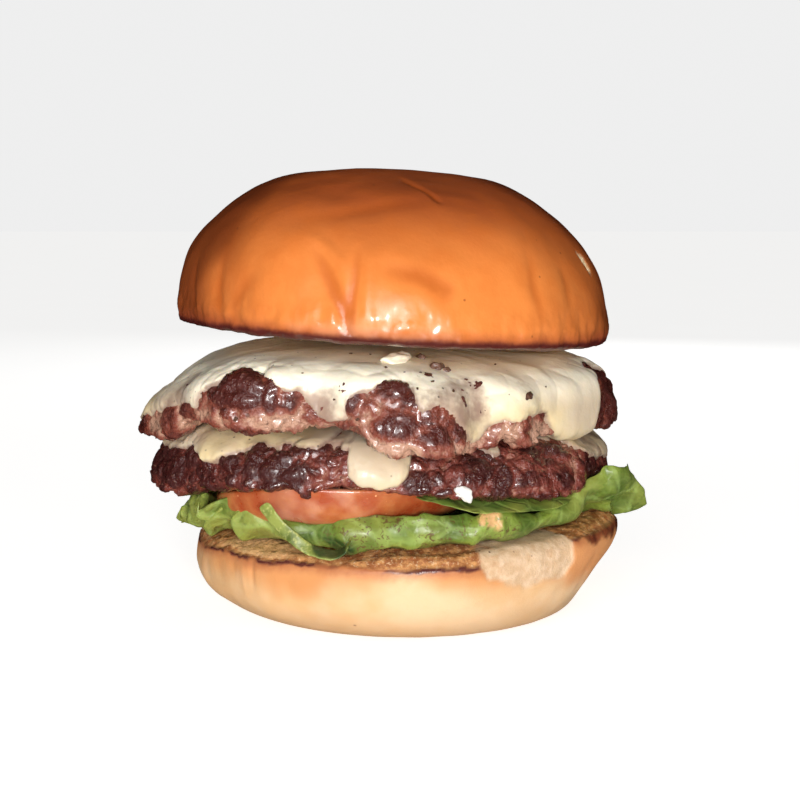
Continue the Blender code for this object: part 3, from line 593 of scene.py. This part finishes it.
def slumped(rows, side, foot_line):
    """Lets the lower half of a wall down until its foot reaches a line of (angle, millimetre) knots."""
    height = rows[..., 2]
    rim = side > 0.5
    foot = np.where(rim, height, 1.0).min(axis=0)
    middle = (foot + np.where(rim, height, 0.0).max(axis=0)) / 2
    column = angle_of(rows[rows.shape[0] // 2])
    drop = np.clip(foot - lined(column, foot_line) * MM, -3 * MM, 4.5 * MM)
    share = smooth(middle + 1.5 * MM - height, 0, middle - foot)
    lowered = rows.copy()
    lowered[..., 2] -= drop * share * side
    return lowered


Wall = namedtuple("Wall", "base facing lumps sear")


def minced(name, skin, foot_line, crest_line, spots, seed):
    """The wall of a patty, with its lumps, grains and cracks, and how dark each place is seared."""
    rows = skin.wrapped(PATTY_COLUMNS, PATTY_SPINE, PATTY_TURNS, PATTY_INNER)
    reach = np.hypot(rows[..., 0] - skin.centre[0], rows[..., 1])
    side, brim = smooth(reach, 45 * MM, 49 * MM), smooth(reach, 35 * MM, 46 * MM)
    rows = slumped(rows, side, foot_line)
    crest = eased(angle_of(rows), crest_line) * MM * brim
    rows[..., 2] += crest * smooth(rows[..., 2], skin.low + 4 * MM, skin.low + 10 * MM)
    base, facing = rows, normals_of(rows)
    warped = rows + crumpled(rows, 5 * MM, seed) * 1.2 * MM
    boulders = pebbled(rows + crumpled(rows, 9 * MM, seed + 6) * 2.5 * MM, 9.5 * MM, seed + 7)
    lumps = pebbled(warped, 4.6 * MM, seed)
    grains = pebbled(warped, 1.9 * MM, seed + 1)
    cracks = np.abs(rough(rows, 7.5 * MM, seed + 2))
    sear = 0.32 + 0.5 * boulders + 0.25 * rough(base, 8 * MM, seed + 5, 3)
    sear += spotted(angle_of(base), base[..., 2], spots)
    raw = smooth(sear, 0.6, 0.25)
    relief = 1.7 * boulders + 0.8 * lumps + (0.4 + 0.45 * raw) * grains - 1.75 - 0.2 * raw
    relief += (0.2 + 0.2 * raw) * rough(rows, 0.9 * MM, seed + 3)
    relief -= 0.8 * (1 - smooth(cracks, 0, 0.07)) * smooth(rough(rows, 15 * MM, seed + 4), -0.1, 0.25)
    relief = np.clip(relief, -2.1, 1.0)
    rows = rows + facing * (relief * side * MM)[..., None]
    piece = closed(name, rows, sear=sear, depth=boulders * 0.3 + lumps * 0.4 + grains * 0.3)
    return piece, Wall(base, facing, (1.1 * boulders + 0.4 * lumps - 0.9) * side, sear)


lower_skin = Skin("patty_lower", (-4 * MM, 0))
LOWER_FOOT = [
    # where the patty's foot hangs to: angle, millimetres above the heel's foot
    (-160, 30.6), (-120, 30.6), (-90, 30.8), (-67, 31), (-55, 34), (-42, 34.6), (-34, 35.4), (-28, 36.6),
    (-24, 34.4), (-17, 36.8), (-9, 37.4), (0, 35.6), (15, 35), (31, 33.5), (45, 32.6), (61, 31.4), (72, 33),
    (90, 32), (130, 30.6), (165, 31),
]
LOWER_CREST = [(-180, 0), (-115, 0), (-98, 3), (-82, 3.4), (-68, 2), (-56, 0.4), (-40, 0), (180, 0)]
lower_patty, lower_wall = minced("patty_lower_minced", lower_skin, LOWER_FOOT, LOWER_CREST, LOWER_SEAR, 61)


def beef(name, dark, red, pale):
    """Seared mince: dark crust on the lumps, red and pinkish grey where it is less done, wet fat between, and
    painted shade in the cracks between the lumps.
    """
    meat = Finish(name, Specular_IOR_Level=0.6, Coat_Roughness=0.18, Coat_IOR=1.6)
    meat_grain, thread, drop = meat.grain(1.5, 4), meat.grain(0.6, 3), meat.grain(2.6, 2)
    sear = meat.mark("sear") + 0.6 * (meat_grain - 0.5) + 0.35 * (meat.mark("depth") - 0.5)
    tone = meat.mixed(sear.over(0.12, 0.5), dye(pale), dye(red))
    tone = meat.mixed(sear.over(0.42, 0.8), tone, dye(dark))
    tone = meat.mixed(thread.over(0.58, 0.74) * 0.3, tone, dye("b98a70"))
    # Painted shade in the cracks and hollows between the lumps.
    tone = meat.mixed(meat.mark("depth").over(0.35, 0.05) * 0.7, tone, dye("2e1213"))
    tone = meat.mixed(meat.cells(5.5).over(0.12, 0.07) * 0.5, tone, dye("1f0f0c"))
    wet = drop.over(0.4, 0.55)
    dullness = 0.46 - 0.18 * wet + 0.2 * (thread - 0.5)
    meat.feed(Base_Color=tone, Roughness=dullness, Coat_Weight=0.3 + 0.7 * wet)
    meat.relief(meat_grain * 1.1 + thread * 0.4 + meat.grain(0.35) * 0.12, 0.8)
    return meat


dark_beef = beef("beef_dark", "431a17", "7a372c", "ab7862")
finished(lower_patty, dark_beef, "patty_lower")

# The lower cheese
# A slice melted over the lower patty. It shows as a cream patch on the left and a fat drip in the middle.
LOWER_CHEESE_HEM = [
    (-168, 42), (-146, 38), (-120, 42), (-100, 40), (-90, 40.5), (-74, 41.7), (-62, 43.9), (-55, 42.9),
    (-52, 41.2), (-48, 42.4), (-43, 44.3), (-35, 46.3), (-29, 47.2), (-24, 46.4), (-21, 47), (-19, 47.9),
    (-16, 47), (-13, 45), (-12.2, 41.2), (-10.3, 39.2), (-7, 38.8), (-4, 38), (0, 38.6), (2, 41.4),
    (3.4, 45.5), (6, 50), (22.5, 50), (24, 45), (27, 43.9), (30, 44.4), (31.5, 48), (33, 50), (41, 50),
    (44, 47), (50, 45.6), (56, 45), (61, 46), (64, 42), (68, 39), (78, 38), (92, 38.5), (106, 42),
    (124, 37.5), (146, 42),
]

# how many rows of the wall and how deep in it a slice reaches
SLICE_ROWS, SLICE_DEPTH = 60, 2.3 * MM


def melted(name, wall, distance, thickness, seed):
    """A melted slice: thick away from its hem, thin and see-through at it, and sunk in the meat beyond it."""
    base, facing, lumps, sear = wall
    ripple = (rough(base, 10 * MM, seed) * 0.35 + rough(base, 4 * MM, seed + 1) * 0.15) * MM
    inside_ = np.clip(distance / (2.4 * MM), 0, 1)
    body = thickness * np.sqrt(1 - (1 - inside_) ** 2)
    follow = 0.8 - 0.45 * inside_ - 0.25 * smooth(body, 0.9 * MM, 1.5 * MM)
    rise = body + ripple * inside_ + lumps * MM * follow
    sink = np.clip(-distance / (0.5 * MM), 0, 1)
    outer = base + facing * (rise - 1.9 * MM * sink)[..., None]
    under = base - facing * SLICE_DEPTH
    keep = base.shape[0] - len(PATTY_INNER) - SLICE_ROWS
    rows = np.concatenate([under[keep:][::-6][:-1], under[keep:keep + 1], outer[keep:]])
    lining = np.zeros((len(rows) - len(outer[keep:]), rows.shape[1]))
    thick = np.concatenate([lining, np.where(distance > 0, body / MM, 0)[keep:]])
    beneath = np.concatenate([lining, sear[keep:]])
    return closed(name, rows, thick=thick, beneath=beneath, up=rows[..., 2] / MM)


def hem_distance(base, hem, seed):
    """How far above its hem each place of the skin lies, in metres, with a wandering edge."""
    angle, height = angle_of(base), base[..., 2]
    steep = np.stack([lined(angle + step, hem) for step in (-1.5, 0, 1.5)])
    slope = (steep[2] - steep[0]) * MM / (math.radians(3) * PATTY_RADIUS)
    wander = rough(base, 7 * MM, seed + 1) * 1.1 + rough(base, 2.5 * MM, seed) * 0.4
    return (height - steep[1] * MM) / np.sqrt(1 + slope**2) + wander * MM


LOWER_CHEESE_POOLS = ((-52, 46, 12, 6, 0.9), (-64, 47, 8, 5, 1.0), (-7, 43, 6, 5, 0.5), (82, 42, 16, 7, -0.5))
base = lower_wall.base
lower_distance = hem_distance(base, LOWER_CHEESE_HEM, 71)
pools = spotted(angle_of(base), base[..., 2], LOWER_CHEESE_POOLS)
lower_thickness = (0.9 + 0.4 * rough(base, 12 * MM, 72) + pools) * MM
lower_cheese = melted("cheese_lower_melted", lower_wall, lower_distance, lower_thickness, 73)

cream = Finish("cheese", Specular_IOR_Level=0.5, Coat_Roughness=0.2, Subsurface_Weight=0.25,
               Subsurface_Radius=(0.003, 0.002, 0.001))
cloud, spread = cream.grain(22, 2), cream.grain(5, 3)
milk = cream.mixed(cloud.over(0.38, 0.62), dye("c8b499"), dye("d5bf93"))
# Painted light: the cheese turns lighter towards its top, under the crown.
milk = cream.mixed(cream.mark("up").over(52, 62), milk, dye("faf0d8"))
milk = cream.mixed(spread.over(0.4, 0.8) * 0.3, milk, dye("cdbfa5"))
meaty = cream.mixed(cream.mark("beneath").over(0.1, 0.75), dye("b39a86"), dye("87685b"))
covering = cream.mark("thick") + 1.2 * cream.mark("up").over(60, 65)
veiled = (covering + 0.9 * (spread - 0.5) + 0.5 * (cream.grain(1.3, 3) - 0.5)).over(0.72, 0.1)
milk = cream.mixed(veiled * 0.85, milk, meaty)
pepper = cream.cells(2.4).over(0.15, 0.08) * cream.grain(9, 2).over(0.5, 0.6)
milk = cream.mixed(pepper * 0.85, milk, dye("4d4238"))
cream.feed(Base_Color=milk, Roughness=0.42 + 0.16 * spread, Coat_Weight=0.12 + 0.25 * spread)
cream.relief(spread * 1.0 + cream.grain(1.2, 3) * 0.2, 0.3)
finished(lower_cheese, cream, "cheese_lower")

# The dab of sauce
# White sauce squeezed out under the lower patty, and stuck to its wall.
dab, points = refined("sauce_drop", "sauce_dab", 3)
middle = points.mean(axis=0)
way = points - middle
dab_angle = angle_of(middle)
wall = np.hypot(*np.array(lower_skin.at(dab_angle, 38 * MM))[:2]) + 1.2 * MM
middle[:2] *= wall / np.hypot(*middle[:2])
swell = 1 + 0.5 * rough(points, 2.4 * MM, 81) + 0.2 * rough(points, 1.1 * MM, 82)
placed(dab, middle + way * (0.8, 0.8, 0.85) * swell[:, None])
white = Finish("sauce", Specular_IOR_Level=0.5, Coat_Roughness=0.1, Subsurface_Weight=0.2,
               Subsurface_Radius=(0.002, 0.002, 0.0015))
swirl = white.grain(1.6, 3)
white.feed(Base_Color=white.mixed(swirl, dye("cfc9c2"), dye("e9e5e0")), Roughness=0.25 + 0.15 * swirl,
           Coat_Weight=0.4 + 0.2 * swirl)
white.relief(swirl, 0.2)
finished(dab, white, "sauce_dab")

# The upper patty
# The same mince, looser: three big lumps of its wall stand out between the drips of cheese.
UPPER_SEAR = (
    (-39, 60.5, 8, 5, 0.6), (-30, 57, 7, 4, 0.25), (-36, 52.5, 12, 2.2, -0.55), (-70, 48, 12, 4, -0.45),
    (-88, 45, 6, 3.5, 0.5), (-24, 53, 6, 2.5, -0.25), (-3, 59, 8, 4, 0.3), (0, 52, 10, 3, 0.1),
    (2, 47.4, 15, 1.7, -0.6), (8, 56, 3.5, 3, -0.35), (13, 51, 5, 3, 0.2), (29, 48.5, 8, 3.5, -0.6),
    (34, 50, 3, 2, 0.25), (45, 47.5, 7, 3, -0.55), (82, 53, 9, 7, 0.55), (110, 50, 14, 4, -0.3),
    (135, 52, 10, 5, 0.4), (172, 50, 12, 4, -0.35), (-150, 52, 12, 5, 0.4), (-120, 50, 12, 4, -0.3),
)
upper_skin = Skin("patty_upper", (-5.75 * MM, 0))
UPPER_FOOT = [
    (-165, 46), (-130, 47), (-90, 42.6), (-72, 43.2), (-65, 45.6), (-60, 48.6), (-54, 50), (-45, 49.4),
    (-33, 49.3), (-22, 50.3), (-10, 50.6), (-6, 46.6), (3, 45.6), (17, 44.8), (22, 43.9), (27, 47),
    (31, 47), (34, 45.2), (40, 44.2), (51, 45), (61, 44.2), (74, 44.2), (90, 46), (120, 45), (150, 47),
]
UPPER_CREST = [
    (-130, 0.6), (-100, 1.6), (-75, 1.8), (-50, 0.8), (-35, 0), (35, 0), (50, 0.9), (75, 2), (100, 1.8),
    (130, 0.8), (180, 0),
]
upper_patty, upper_wall = minced("patty_upper_minced", upper_skin, UPPER_FOOT, UPPER_CREST, UPPER_SEAR, 91)
pink_beef = beef("beef_pink", "4f201a", "844232", "b88b73")
finished(upper_patty, pink_beef, "patty_upper")

# The upper cheese
# A thicker slice, melted until it ran down between the lumps: grey where it is thin, cream where it gathered.
UPPER_CHEESE_HEM = [
    (-165, 50), (-150, 56), (-132, 48), (-112, 53), (-100, 47.5), (-90, 45.5), (-80, 48.7), (-68, 52),
    (-59, 53.3), (-56, 54), (-53, 54.6), (-51, 54), (-49.7, 54.5), (-49, 56), (-48, 58.4), (-45, 61),
    (-42, 62.6), (-39, 63.6), (-34, 64), (-31, 63.3), (-29, 62.6), (-27.5, 61.6), (-26, 60.6), (-24, 60),
    (-22.8, 58.6), (-21.8, 56.3), (-20, 53.8), (-17, 53), (-14.5, 53.3), (-12.6, 54), (-12, 56),
    (-11, 58.2), (-9, 60.5), (-5, 62.1), (-2, 63), (1, 62.4), (3, 60.5), (4, 57.8), (5, 55.9), (7, 57.1),
    (9, 57.3), (11, 56), (14, 52.6), (16, 49.9), (19, 47.5), (21, 48.6), (24, 50.8), (28, 51.8), (32, 51.7),
    (36, 52.5), (42, 52.4), (45.5, 51.4), (49, 48.4), (52.5, 46), (58, 44.8), (64, 44.4), (68.5, 46),
    (70.5, 49), (71.8, 54), (73, 58), (76, 60.2), (82, 61), (88, 60), (98, 51), (111, 48.5), (126, 56),
    (144, 49), (158, 55), (178, 57),
]
UPPER_CHEESE_POOLS = (
    (59, 50, 11, 9, 0.9), (-19, 56, 4.5, 5, -0.6), (16, 57, 8, 6, -0.8), (-62, 55, 9, 4, -0.5),
    (30, 56, 8, 5, 0.3),
)
base = upper_wall.base
upper_distance = hem_distance(base, UPPER_CHEESE_HEM, 95)
pools = spotted(angle_of(base), base[..., 2], UPPER_CHEESE_POOLS)
upper_thickness = np.maximum(0.75 + 0.4 * rough(base, 12 * MM, 96) + pools, 0.2) * MM
upper_cheese = melted("cheese_upper_melted", upper_wall, upper_distance, upper_thickness, 97)
finished(upper_cheese, cream, "cheese_upper")

# The bits on the cheese
# Cracked pepper and crumbs of mince that stuck to the melted cheese, and a pale blob of cheese near its top.
PEPPER = (
    # angle, millimetres above the foot, half its length in millimetres, and how it lies
    (35, 56.9, 1.5, 12), (-36, 53.6, 0.7, 40), (-15, 57.8, 0.35, 0), (-4, 63.7, 0.5, 80),
    (8, 61.3, 0.45, 20), (13, 59.5, 0.5, 65), (-9, 54.1, 0.5, 30), (-18, 65.7, 0.5, 10),
    (-11, 68.1, 0.45, 50), (36, 62.4, 0.4, 20), (4, 60.1, 0.4, 70), (16, 57, 0.35, 15), (19, 60, 0.3, 50),
    (-24, 62.8, 0.3, 5), (45, 58, 0.3, 30), (-60, 58, 0.4, 25), (130, 60, 0.5, 10), (-150, 62, 0.5, 60),
    (170, 61, 0.4, 35), (100, 57, 0.4, 5),
)


def on_cheese(row, column):
    """How far above the meat a bit lies there."""
    covered = upper_distance[row, column] > 0
    return (upper_thickness[row, column] + 0.1 * MM) if covered else 0.2 * MM


def chips(name, spots, bulge, seed):
    """Small flat lumps laid on the upper slice, one for each (angle, height, half length, lean)."""
    shape = bmesh.new()
    base, facing = upper_wall.base, upper_wall.facing
    reach = np.hypot(base[..., 0], base[..., 1])
    for count, (at, up, half, lean) in enumerate(spots):
        turn = np.abs((angle_of(base) - at + 180) % 360 - 180)
        miss = turn + np.abs(base[..., 2] / MM - up) * 2 + (reach < 25 * MM) * 100
        row, column = np.unravel_index(miss.argmin(), miss.shape)
        out = Vector(facing[row, column])
        lie = out.to_track_quat("Z", "Y") @ Quaternion((0, 0, 1), math.radians(lean))
        made = bmesh.ops.create_icosphere(shape, subdivisions=3, radius=1)["verts"]
        for vert in made:
            vert.co *= 1 + 0.5 * noise.noise(vert.co * 1.3 + Vector((seed, count * 3.1, 0)))
            local = Vector((vert.co.x * half, vert.co.y * half * 0.6, vert.co.z * half * bulge)) * MM
            vert.co = Vector(base[row, column]) + out * on_cheese(row, column) + lie @ local
    mesh = bpy.data.meshes.new(name)
    shape.to_mesh(mesh)
    shape.free()
    mesh.shade_smooth()
    return linked(name, mesh)


pepper = chips("pepper_flecks", PEPPER, 0.35, 5)
husk = Finish("pepper", Specular_IOR_Level=0.4)
shade = husk.grain(0.5, 2)
husk.feed(Base_Color=husk.mixed(shade, dye("2a1712"), dye("6b4632")), Roughness=0.5 + 0.3 * shade)
husk.relief(shade, 0.1)
finished(pepper, husk, None)

crumb_bits = chips("mince_crumbs", [(11, 63.4, 2.3, 10), (8, 64.3, 1.6, 60), (14, 62.9, 1.2, 30)], 0.5, 9)
finished(crumb_bits, pink_beef, None)

blob = chips("cheese_blob", [(-1.5, 64.7, 3.9, 5), (1.2, 64.9, 2.4, 50)], 0.4, 14)
points = np.zeros(len(blob.data.vertices) * 3)
blob.data.vertices.foreach_get("co", points)
placed(blob, points, thick=np.ones(len(points) // 3), up=points[2::3] / MM)
finished(blob, cream, None)

# The crown
# The glazed top of the bun: tall, shiny, browner on top, partly its bake and partly painted shade, with
# wrinkled sides and a dark rim where it was cut. Painted shade darkens its sides, back and fold grooves, and
# a painted highlight lies low on its front.
CROWN_X, CROWN_COLUMNS, CROWN_SPINE = -1.6 * MM, 600, 24 * MM
crown_skin = Skin("crown", (CROWN_X, 0), sharpness=0.55)
crown_turns = np.concatenate([np.linspace(-90, -62, 5), np.linspace(-58, 90, 92)])
CROWN_RIM = 68 * MM
CROWN_INNER = (0.92, 0.84, 0.76, 0.68, 0.6, 0.5, 0.4, 0.3, 0.2, 0.1)
crown_rows = crown_skin.wrapped(CROWN_COLUMNS, CROWN_SPINE, crown_turns, CROWN_INNER)
CROWN_FOLDS = (
    # a line of (angle, height) on the skin, half its width, and its depth, in millimetres
    (((-20, 90), (-15, 82.9), (-12, 76.4), (-10, 71)), 2.0, 0.6),
    (((-9, 90.4), (-9, 84.5), (-10, 78.6), (-10, 74)), 1.5, 0.5),
    (((-23, 93), (-17, 90.5), (-12.5, 87)), 1.3, -0.5),
    (((-5.5, 89), (-6, 82), (-6, 76), (-5, 70)), 1.8, -0.45),
    (((-15, 78), (-13.5, 72)), 1.4, -0.6),
    (((-50, 88), (-50, 80), (-48, 73)), 1.7, 0.45),
    (((-36, 86), (-42, 79), (-44, 74)), 2.2, 0.4),
    (((-66, 86), (-61, 75)), 1.6, 0.45),
    (((39, 89), (38, 81), (40, 73)), 1.8, 0.4),
    (((52, 86), (51, 76)), 2.0, 0.4),
    (((-2, 86), (6, 85), (13, 82), (12, 79)), 2.6, 0.5),
    (((-28, 96), (-16, 97.8), (0, 99.7), (9, 100.5)), 2.6, 0.35),
    (((5, 106), (13, 104), (17, 100.5)), 0.8, 0.8),
    (((80, 88), (86, 74)), 1.7, 0.7),
    (((104, 90), (108, 74)), 1.6, 0.7),
    (((128, 88), (124, 75)), 2.0, 0.7),
    (((152, 90), (156, 73)), 1.6, 0.8),
    (((176, 88), (172, 75)), 1.9, 0.7),
    (((-160, 90), (-156, 73)), 1.7, 0.8),
    (((-134, 88), (-138, 75)), 2.0, 0.6),
    (((-110, 90), (-106, 74)), 1.6, 0.7),
    (((-88, 87), (-84, 75)), 1.7, 0.6),
)
CROWN_CHIP = [(66, 88.6), (69.5, 87.6), (70.5, 84.2), (68.6, 83.6), (67, 86)]
# Where the crown is glossier and a highlight is painted on, low on its front.
CROWN_SHINE = [(-26, 69), (-25, 73), (-8, 74), (-7, 77), (2, 77.5), (10, 75.5), (15, 72), (14, 67)]


def folded(points, skin, folds):
    """The depth of folds drawn on a skin, in metres: a groove, or a ridge where the depth is negative."""
    total = np.zeros(points.shape[:-1])
    for line, width, depth in folds:
        knots = [np.array(skin.at(angle, height * MM)) for angle, height in line]
        nearest, along = np.full(total.shape, 1.0), np.zeros(total.shape)
        for k, (a, b) in enumerate(zip(knots, knots[1:])):
            side = b - a
            t = np.clip(((points - a) @ side) / (side @ side), 0, 1)
            far = np.linalg.norm(points - a - t[..., None] * side, axis=-1)
            along = np.where(far < nearest, (k + t) / (len(knots) - 1), along)
            nearest = np.minimum(nearest, far)
        fade = 0.35 + 0.65 * np.sin(np.pi * along) ** 0.7
        total += depth * MM * fade * np.exp(-(nearest / (width * MM)) ** 2)
    return total


angle, height = angle_of(crown_rows - [CROWN_X, 0, 0]), crown_rows[..., 2]
# its cut rim is tilted down to the right and to the back
rim_at = CROWN_RIM - 0.054 * (crown_rows[..., 0] - CROWN_X) - 0.018 * crown_rows[..., 1]
above_rim = height - rim_at
crown_reach = np.hypot(crown_rows[..., 0] - CROWN_X, crown_rows[..., 1])
flank = smooth(above_rim, 0.5 * MM, 4 * MM)
facing = normals_of(crown_rows)
fold = folded(crown_rows, crown_skin, CROWN_FOLDS)
relief = -fold * flank
relief += (rough(crown_rows, 15 * MM, 101) * 0.5 + rough(crown_rows, 6 * MM, 102) * 0.16) * MM * flank
blister = smooth(above_rim, 12 * MM, 4 * MM) * smooth(above_rim, -1 * MM, 2 * MM)
relief += blister * (rough(crown_rows, 3.4 * MM, 103) * 0.5 + rough(crown_rows, 1.5 * MM, 104) * 0.3) * MM
relief += smooth(above_rim, 6 * MM, 1 * MM) * rough(crown_rows * [1, 1, 0.5], 4 * MM, 105, 2) * 0.2 * MM
shoulder = np.exp(-((crown_rows[..., 0] - 25 * MM) / (11 * MM)) ** 2) * 1.3
shoulder += np.exp(-((crown_rows[..., 0] + 30 * MM) / (12 * MM)) ** 2) * 1.2
relief += shoulder * MM * smooth(height, 82 * MM, 95 * MM)
chip = smooth(within(CROWN_CHIP, angle, height, 50 * MM), -0.3 * MM, 0.2 * MM)
relief -= chip * (0.5 + 0.5 * rough(crown_rows, 1.2 * MM, 106)) * MM
crown_rows = crown_rows + facing * relief[..., None]
# Painted shade: darker away from the front, towards the sides and back, easing off near the top.
browned = smooth(np.abs((angle - 8 + 180) % 360 - 180) + 14 * rough(crown_rows, 25 * MM, 107, 2), 24, 76)
off_top = smooth(crown_reach, 2 * MM, 32 * MM)
browned = 0.3 + (browned - 0.3) * off_top
shine = smooth(within(CROWN_SHINE, angle, height, 54 * MM), -3 * MM, 2 * MM)
under = smooth(-facing[..., 2], 0.9, 0.98)
under *= smooth(np.hypot(crown_rows[..., 0], crown_rows[..., 1]), 47 * MM, 43 * MM)
crown = closed("crown_bun", crown_rows, rise=above_rim / MM, under=under, fold=fold / MM, browned=browned,
               chip=chip, blister=blister, shine=shine)

glaze = Finish("glazed_crust", Specular_IOR_Level=0.2, Coat_Roughness=0.18, Coat_IOR=1.4)
cloud, streak, fine = glaze.grain(20, 3), glaze.grain(6, 3), glaze.grain(0.9, 2)
rise = glaze.mark("rise") + 9 * (cloud - 0.5)
# Browner towards the top: partly its real bake, partly painted shade.
baked = glaze.mixed(rise.over(15, 35), dye("d17836"), dye("ac5224"))
# Painted shade: browner towards the sides and back.
baked = glaze.mixed(glaze.mark("browned") * (0.6 + 0.7 * (streak - 0.3)), baked, dye("944318"))
baked = glaze.mixed(streak.over(0.4, 0.75) * 0.3, baked, dye("c0601f"))
# Painted shade in the fold grooves.
baked = glaze.mixed(glaze.mark("fold").over(0.05, 0.6) * 0.6, baked, dye("a34a12"))
# Painted highlight: a pale pinkish patch low on the front.
baked = glaze.mixed(glaze.mark("shine") * streak.over(0.36, 0.6) * 0.3, baked, dye("e8b48c"))
# Deeper painted shade far round the sides and back.
baked = glaze.mixed(glaze.mark("browned").over(0.55, 1.0) * 0.7, baked, dye("6e2f12"))
baked = glaze.mixed((glaze.mark("rise") + 3 * (streak - 0.5)).over(5.5, 1.4) * 0.8, baked, dye("86381f"))
edge = glaze.mark("rise") + 1.2 * (streak - 0.5) + 0.4 * (fine - 0.5)
baked = glaze.mixed(edge.over(3.1, 1.5) * 0.95, baked, dye("451614"))
cut = glaze.mixed(fine.over(0.3, 0.7), dye("b07a4a"), dye("e3c096"))
baked = glaze.mixed(glaze.mark("under"), baked, cut)
bare = glaze.mixed(fine.over(0.35, 0.65), dye("d9b07c"), dye("f0dcb8"))
baked = glaze.mixed(glaze.mark("chip"), baked, bare)
freckle = glaze.cells(9).over(0.045, 0.025)
baked = glaze.mixed(freckle * 0.6, baked, dye("6b3416"))
dull = glaze.mark("under") + glaze.mark("chip")
blistered = glaze.mark("blister") * streak.over(0.42, 0.56)
gloss = 0.16 + 0.6 * blistered - 0.12 * glaze.mark("rise").over(20, 34)
gloss = gloss + 0.8 * glaze.mark("shine") * streak.over(0.3, 0.5)
glaze.feed(Base_Color=baked, Roughness=0.42 + 0.1 * (streak - 0.5) + 0.3 * dull,
           Coat_Weight=gloss * (1 - dull))
glaze.relief(streak * (1.0 + glaze.mark("blister")) + fine * 0.14 + glaze.grain(0.35) * 0.06, 0.24)
finished(crown, glaze, "crown")

# The studio
# A pale floor in a dim white room, with a small soft light by the camera and two broader ones before and
# behind the burger. The camera stands a little above the table, as the photographer did.
floor_mesh = bpy.data.meshes.new("floor")
floor_mesh.from_pydata([(-3, -3, 0), (3, -3, 0), (3, 3, 0), (-3, 3, 0)], [], [(0, 1, 2, 3)])
floor = linked("floor", floor_mesh)
paper = Finish("floor", Roughness=1.0, Specular_IOR_Level=0.0, Emission_Color=(1, 1, 1, 1),
               Emission_Strength=0.7)
paper.feed(Base_Color=paper.mixed(paper.grain(60, 2), dye("d2d1cf"), dye("d8d7d5")))
floor.visible_glossy = False
floor.data.materials.append(paper.material)


def facing_to(item, place, target):
    item.location = place
    item.rotation_mode = "QUATERNION"
    item.rotation_quaternion = (Vector(target) - Vector(place)).to_track_quat("-Z", "Y")
    return item


def softbox(name, place, target, size, power):
    light = bpy.data.lights.new(name, "AREA")
    light.shape, light.size, light.energy = "DISK", size, power
    return facing_to(linked(name, light), place, target)


TARGET = (0, 0, 0.051)
ELEVATION, DISTANCE = math.radians(7.5), 0.42
eye = Vector(TARGET) + Vector((0, -math.cos(ELEVATION), math.sin(ELEVATION))) * DISTANCE
softbox("key", eye + Vector((0.035, 0, -0.025)), TARGET, 0.05, 0.95)
softbox("front", (-0.12, -0.6, 0.16), TARGET, 0.3, 1.9)
softbox("rear", (0.1, 0.6, 0.3), TARGET, 0.4, 0.7).visible_glossy = False
room = bpy.data.worlds.new("room")
bpy.context.scene.world = room
room.use_nodes = True
room.cycles_visibility.glossy = False
links, nodes = room.node_tree.links, room.node_tree.nodes
ambient = nodes["Background"]
ambient.inputs["Color"].default_value = (1, 0.99, 0.97, 1)
ambient.inputs["Strength"].default_value = 0.27
seen = nodes.new("ShaderNodeBackground")
seen.inputs["Color"].default_value = (1, 1, 1, 1)
seen.inputs["Strength"].default_value = 0.86
path, blend = nodes.new("ShaderNodeLightPath"), nodes.new("ShaderNodeMixShader")
links.new(path.outputs["Is Camera Ray"], blend.inputs[0])
links.new(ambient.outputs[0], blend.inputs[1])
links.new(seen.outputs[0], blend.inputs[2])
links.new(blend.outputs[0], nodes["World Output"].inputs["Surface"])

lens = bpy.data.cameras.new("camera")
lens.sensor_width, lens.lens = 36, 75.6
lens.clip_start = 0.01
bpy.context.scene.camera = facing_to(linked("camera", lens), eye, TARGET)
bpy.context.scene.view_settings.view_transform = "Standard"
